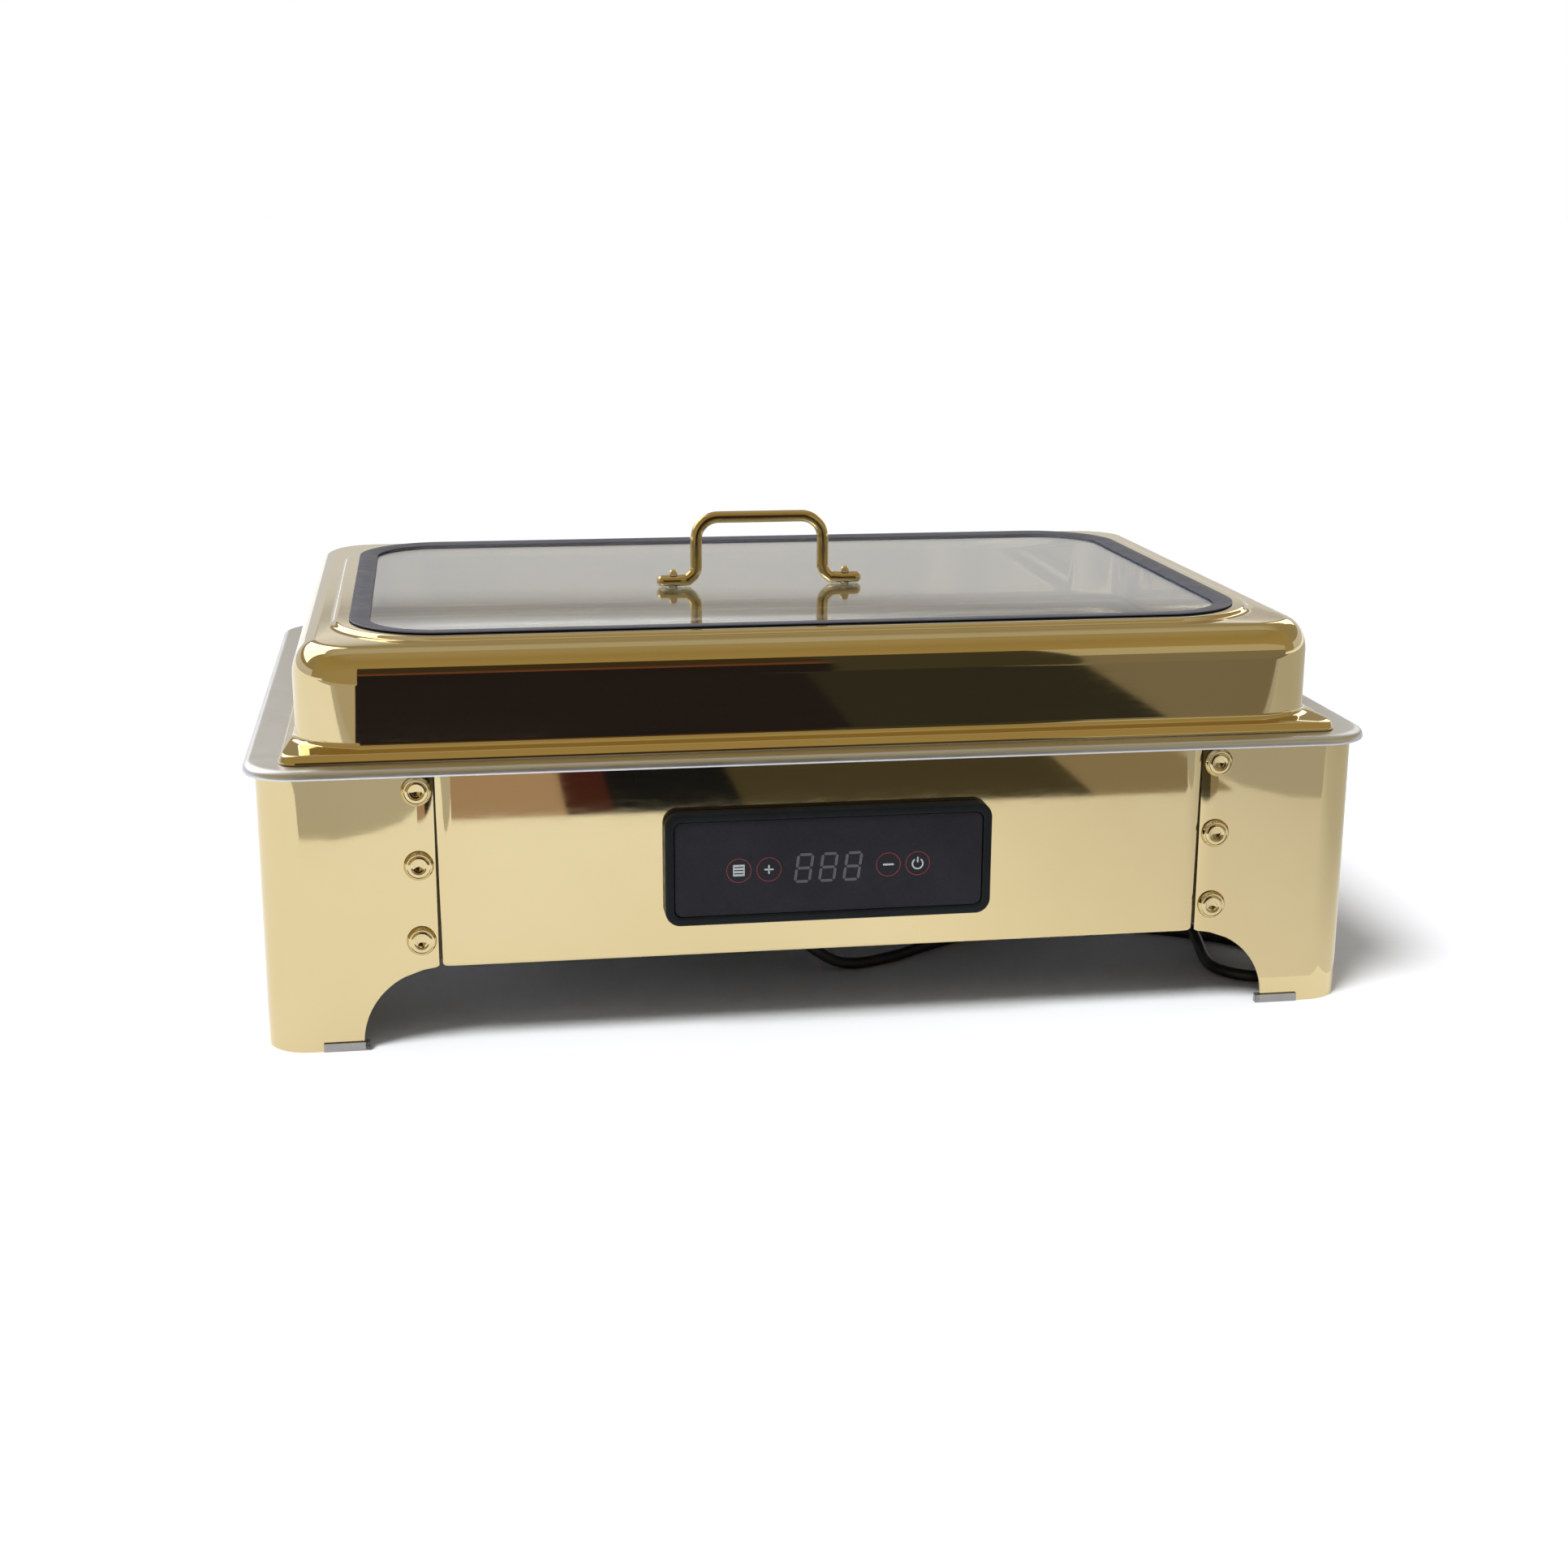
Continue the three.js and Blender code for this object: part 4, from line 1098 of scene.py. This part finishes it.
def reflection_card(name, corners, material):
    """A surface that only polished metal and glass can see."""
    card = stage_plane(f"card_{name}", corners, material)
    card.visible_camera = card.visible_diffuse = card.visible_shadow = False
    card.visible_transmission = False


floor_look = Nodes("pale_floor")
floor_tone = floor_look.ramp(floor_look.noise(3),
                             [(0.3, (0.91, 0.925, 0.945)), (0.7, (0.93, 0.945, 0.965))])
floor_look.set(Base_Color=floor_tone, Roughness=0.9, Specular_IOR_Level=0.0)
stage_plane("floor", lying(-60, 60, -60, 60, 0), floor_look.material)

# What the polished sheets mirror, in metres. NEAR and MIDDLE are where the tones on the floor in
# front of the body change, BACKDROP is how far off the upright ones stand.
NEAR, MIDDLE, BACKDROP = -0.63, -0.82, -1.5
FLOOR_CARDS = [
    ("brown_left", -0.207, -0.112, MIDDLE, NEAR, (0.46, 0.336, 0.268)),
    ("red_left", -0.112, -0.078, MIDDLE, NEAR, (0.065, 0.02, 0.018)),
    ("black_near", -0.078, 0.018, MIDDLE, NEAR, (0.010, 0.011, 0.015)),
    ("olive_near", 0.018, 0.281, MIDDLE, NEAR, (0.072, 0.063, 0.040)),
    ("brown_near", 0.281, 0.388, MIDDLE, NEAR, (0.30, 0.255, 0.185)),
    ("beige_far", -3.0, -0.42, BACKDROP, MIDDLE, (0.54, 0.49, 0.39)),
    ("black_far", -0.42, 0.144, BACKDROP, MIDDLE, (0.020, 0.017, 0.022)),
    ("olive_far", 0.144, 0.42, BACKDROP, MIDDLE, (0.036, 0.035, 0.029)),
    ("tan_far", 0.42, 3.0, BACKDROP, MIDDLE, (0.235, 0.205, 0.158)),
]
for name, x0, x1, y0, y1, colour in FLOOR_CARDS:
    reflection_card(name, lying(x0, x1, y0, y1), glowing(name, colour))

# Two grey ones end in a round edge towards the body, here as (x, y) along that edge.
ROUND_CARDS = {
    "grey_left": ((0.58, 0.57, 0.56), [
        (-0.207, MIDDLE), (-0.207, -0.70), (-0.23, -0.63), (-0.25, -0.605), (-0.275, -0.59),
        (-0.30, -0.595), (-0.32, -0.62), (-0.34, -0.67), (-0.37, -0.715), (-0.42, -0.73),
        (-3.0, -0.73), (-3.0, MIDDLE)]),
    "grey_right": ((0.51, 0.50, 0.49), [
        (0.388, MIDDLE), (0.388, -0.70), (0.40, -0.64), (0.425, -0.605), (0.46, -0.595),
        (0.49, -0.615), (0.515, -0.66), (0.55, -0.71), (0.60, -0.73), (3.0, -0.73), (3.0, MIDDLE)]),
}
for name, (colour, edge) in ROUND_CARDS.items():
    reflection_card(name, [(x, y, 0.002) for x, y in edge], glowing(name, colour))

# Painted shade in the mirrored floor: the pale floor beside the body mirrors darker the further right it
# lies.
shade = Nodes("mirrored_floor_painted_shade")
shade_glow = shade.add("ShaderNodeEmission", Strength=1.1)
along_x = shade.add("ShaderNodeSeparateXYZ")
shade.link(shade.place, along_x.inputs["Vector"])
shade_tone = shade.ramp(along_x.outputs["X"], [
    (0.08, (1.0, 1.0, 1.0)), (0.22, (0.87, 0.86, 0.855)), (0.36, (0.78, 0.78, 0.80)),
    (0.60, (0.565, 0.565, 0.55)), (1.0, (0.50, 0.49, 0.455))])
shade.link(shade_tone, shade_glow.inputs["Color"])
shade.link(shade_glow.outputs["Emission"], shade.output.inputs["Surface"])
for name, corners in (("floor_front", lying(0.08, 0.32, NEAR, -0.23)),
                      ("floor_side", lying(0.32, 3.0, -0.73, 1.5, 0.0015))):
    reflection_card(name, corners, shade.material)

UPRIGHT_CARDS = [
    ("gold_left", -3.5, -0.42, 0.0, 1.0, (0.42, 0.34, 0.18)),
    ("black_middle", -0.42, 0.24, 0.0, 0.46, (0.020, 0.017, 0.020)),
    ("red_line", -0.42, 0.24, 0.46, 0.58, (0.16, 0.06, 0.035)),
    ("brown_top", -0.42, 0.24, 0.58, 0.98, (0.055, 0.040, 0.022)),
    ("olive_middle", 0.24, 0.53, 0.0, 0.98, (0.06, 0.055, 0.038)),
    ("tan_right", 0.53, 3.5, 0.0, 0.5, (0.26, 0.225, 0.165)),
    ("pale_right", 0.53, 3.5, 0.5, 1.0, (0.56, 0.51, 0.38)),
]
for name, x0, x1, z0, z1, colour in UPRIGHT_CARDS:
    reflection_card(name, standing(x0, x1, z0, z1, BACKDROP), glowing(name, colour))

for name, azimuths, elevations, colour in (
    ("bright_window", (-162, -104), (16, 48), (2.6, 2.55, 2.4)),
    ("bright_corner", (128, 146), (14, 30), (2.2, 2.15, 2.05)),
):
    reflection_card(name, in_sky(azimuths, elevations, 2.6), glowing(name, colour))


def room():
    """White behind the body for the camera, dim low down for the shadows, and a warm room with a
    pale back wall for the metal."""
    world = bpy.data.worlds.new("studio")
    bpy.context.scene.world = world
    world.use_nodes = True
    tree = world.node_tree
    tree.nodes.remove(tree.nodes["Background"])
    place = tree.nodes.new("ShaderNodeTexCoord")
    split = tree.nodes.new("ShaderNodeSeparateXYZ")
    tree.links.new(place.outputs["Generated"], split.inputs["Vector"])
    path = tree.nodes.new("ShaderNodeLightPath")

    def light(stops):
        ramp = tree.nodes.new("ShaderNodeValToRGB")
        fill_ramp(ramp, stops)
        glow = tree.nodes.new("ShaderNodeBackground")
        tree.links.new(split.outputs["Z"], ramp.inputs["Fac"])
        tree.links.new(ramp.outputs["Color"], glow.inputs["Color"])
        return glow.outputs["Background"]

    def mixed(factor, first, second):
        mix = tree.nodes.new("ShaderNodeMixShader")
        tree.links.new(factor, mix.inputs["Fac"])
        tree.links.new(first, mix.inputs[1])
        tree.links.new(second, mix.inputs[2])
        return mix.outputs["Shader"]

    behind = tree.nodes.new("ShaderNodeMath")
    behind.operation = "GREATER_THAN"
    behind.inputs[1].default_value = 0.0
    tree.links.new(split.outputs["Y"], behind.inputs[0])
    front = light([(0.0, (0.40, 0.33, 0.20)), (0.5, (0.42, 0.32, 0.14)), (0.8, (0.38, 0.29, 0.13)),
                   (1.0, (0.44, 0.36, 0.20))])
    back = light([(0.0, (0.64, 0.65, 0.70)), (0.170, (0.72, 0.71, 0.70)), (0.175, (0.42, 0.40, 0.38)),
                  (0.180, (0.48, 0.46, 0.43)), (0.184, (0.98, 0.97, 0.95)), (0.192, (0.98, 0.97, 0.95)),
                  (0.198, (0.36, 0.31, 0.21)), (0.7, (0.38, 0.31, 0.17)), (0.9, (0.52, 0.49, 0.42))])
    metal = mixed(behind.outputs["Value"], front, back)
    soft = light([(0.0, (0.0, 0.0, 0.0)), (0.35, (0.02, 0.02, 0.02)), (0.7, (0.5, 0.5, 0.51)),
                  (1.0, (0.6, 0.6, 0.6))])
    white = light([(0.0, (1, 1, 1)), (1.0, (1, 1, 1))])
    other = mixed(path.outputs["Is Diffuse Ray"], metal, soft)
    seen = mixed(path.outputs["Is Camera Ray"], other, white)
    tree.links.new(seen, tree.nodes["World Output"].inputs["Surface"])


room()

data = bpy.data.lights.new("soft_sun", "SUN")
data.energy, data.angle = 3.0, radians(22)
sun = in_scene("soft_sun", data)
sun.matrix_world = Vector((1.1, 0.9, -2.2)).to_track_quat("-Z", "Y").to_matrix().to_4x4()
sun.visible_glossy = False

view = bpy.context.scene.view_settings
view.view_transform, view.look, view.exposure, view.gamma = "Standard", "None", 0.0, 1.0
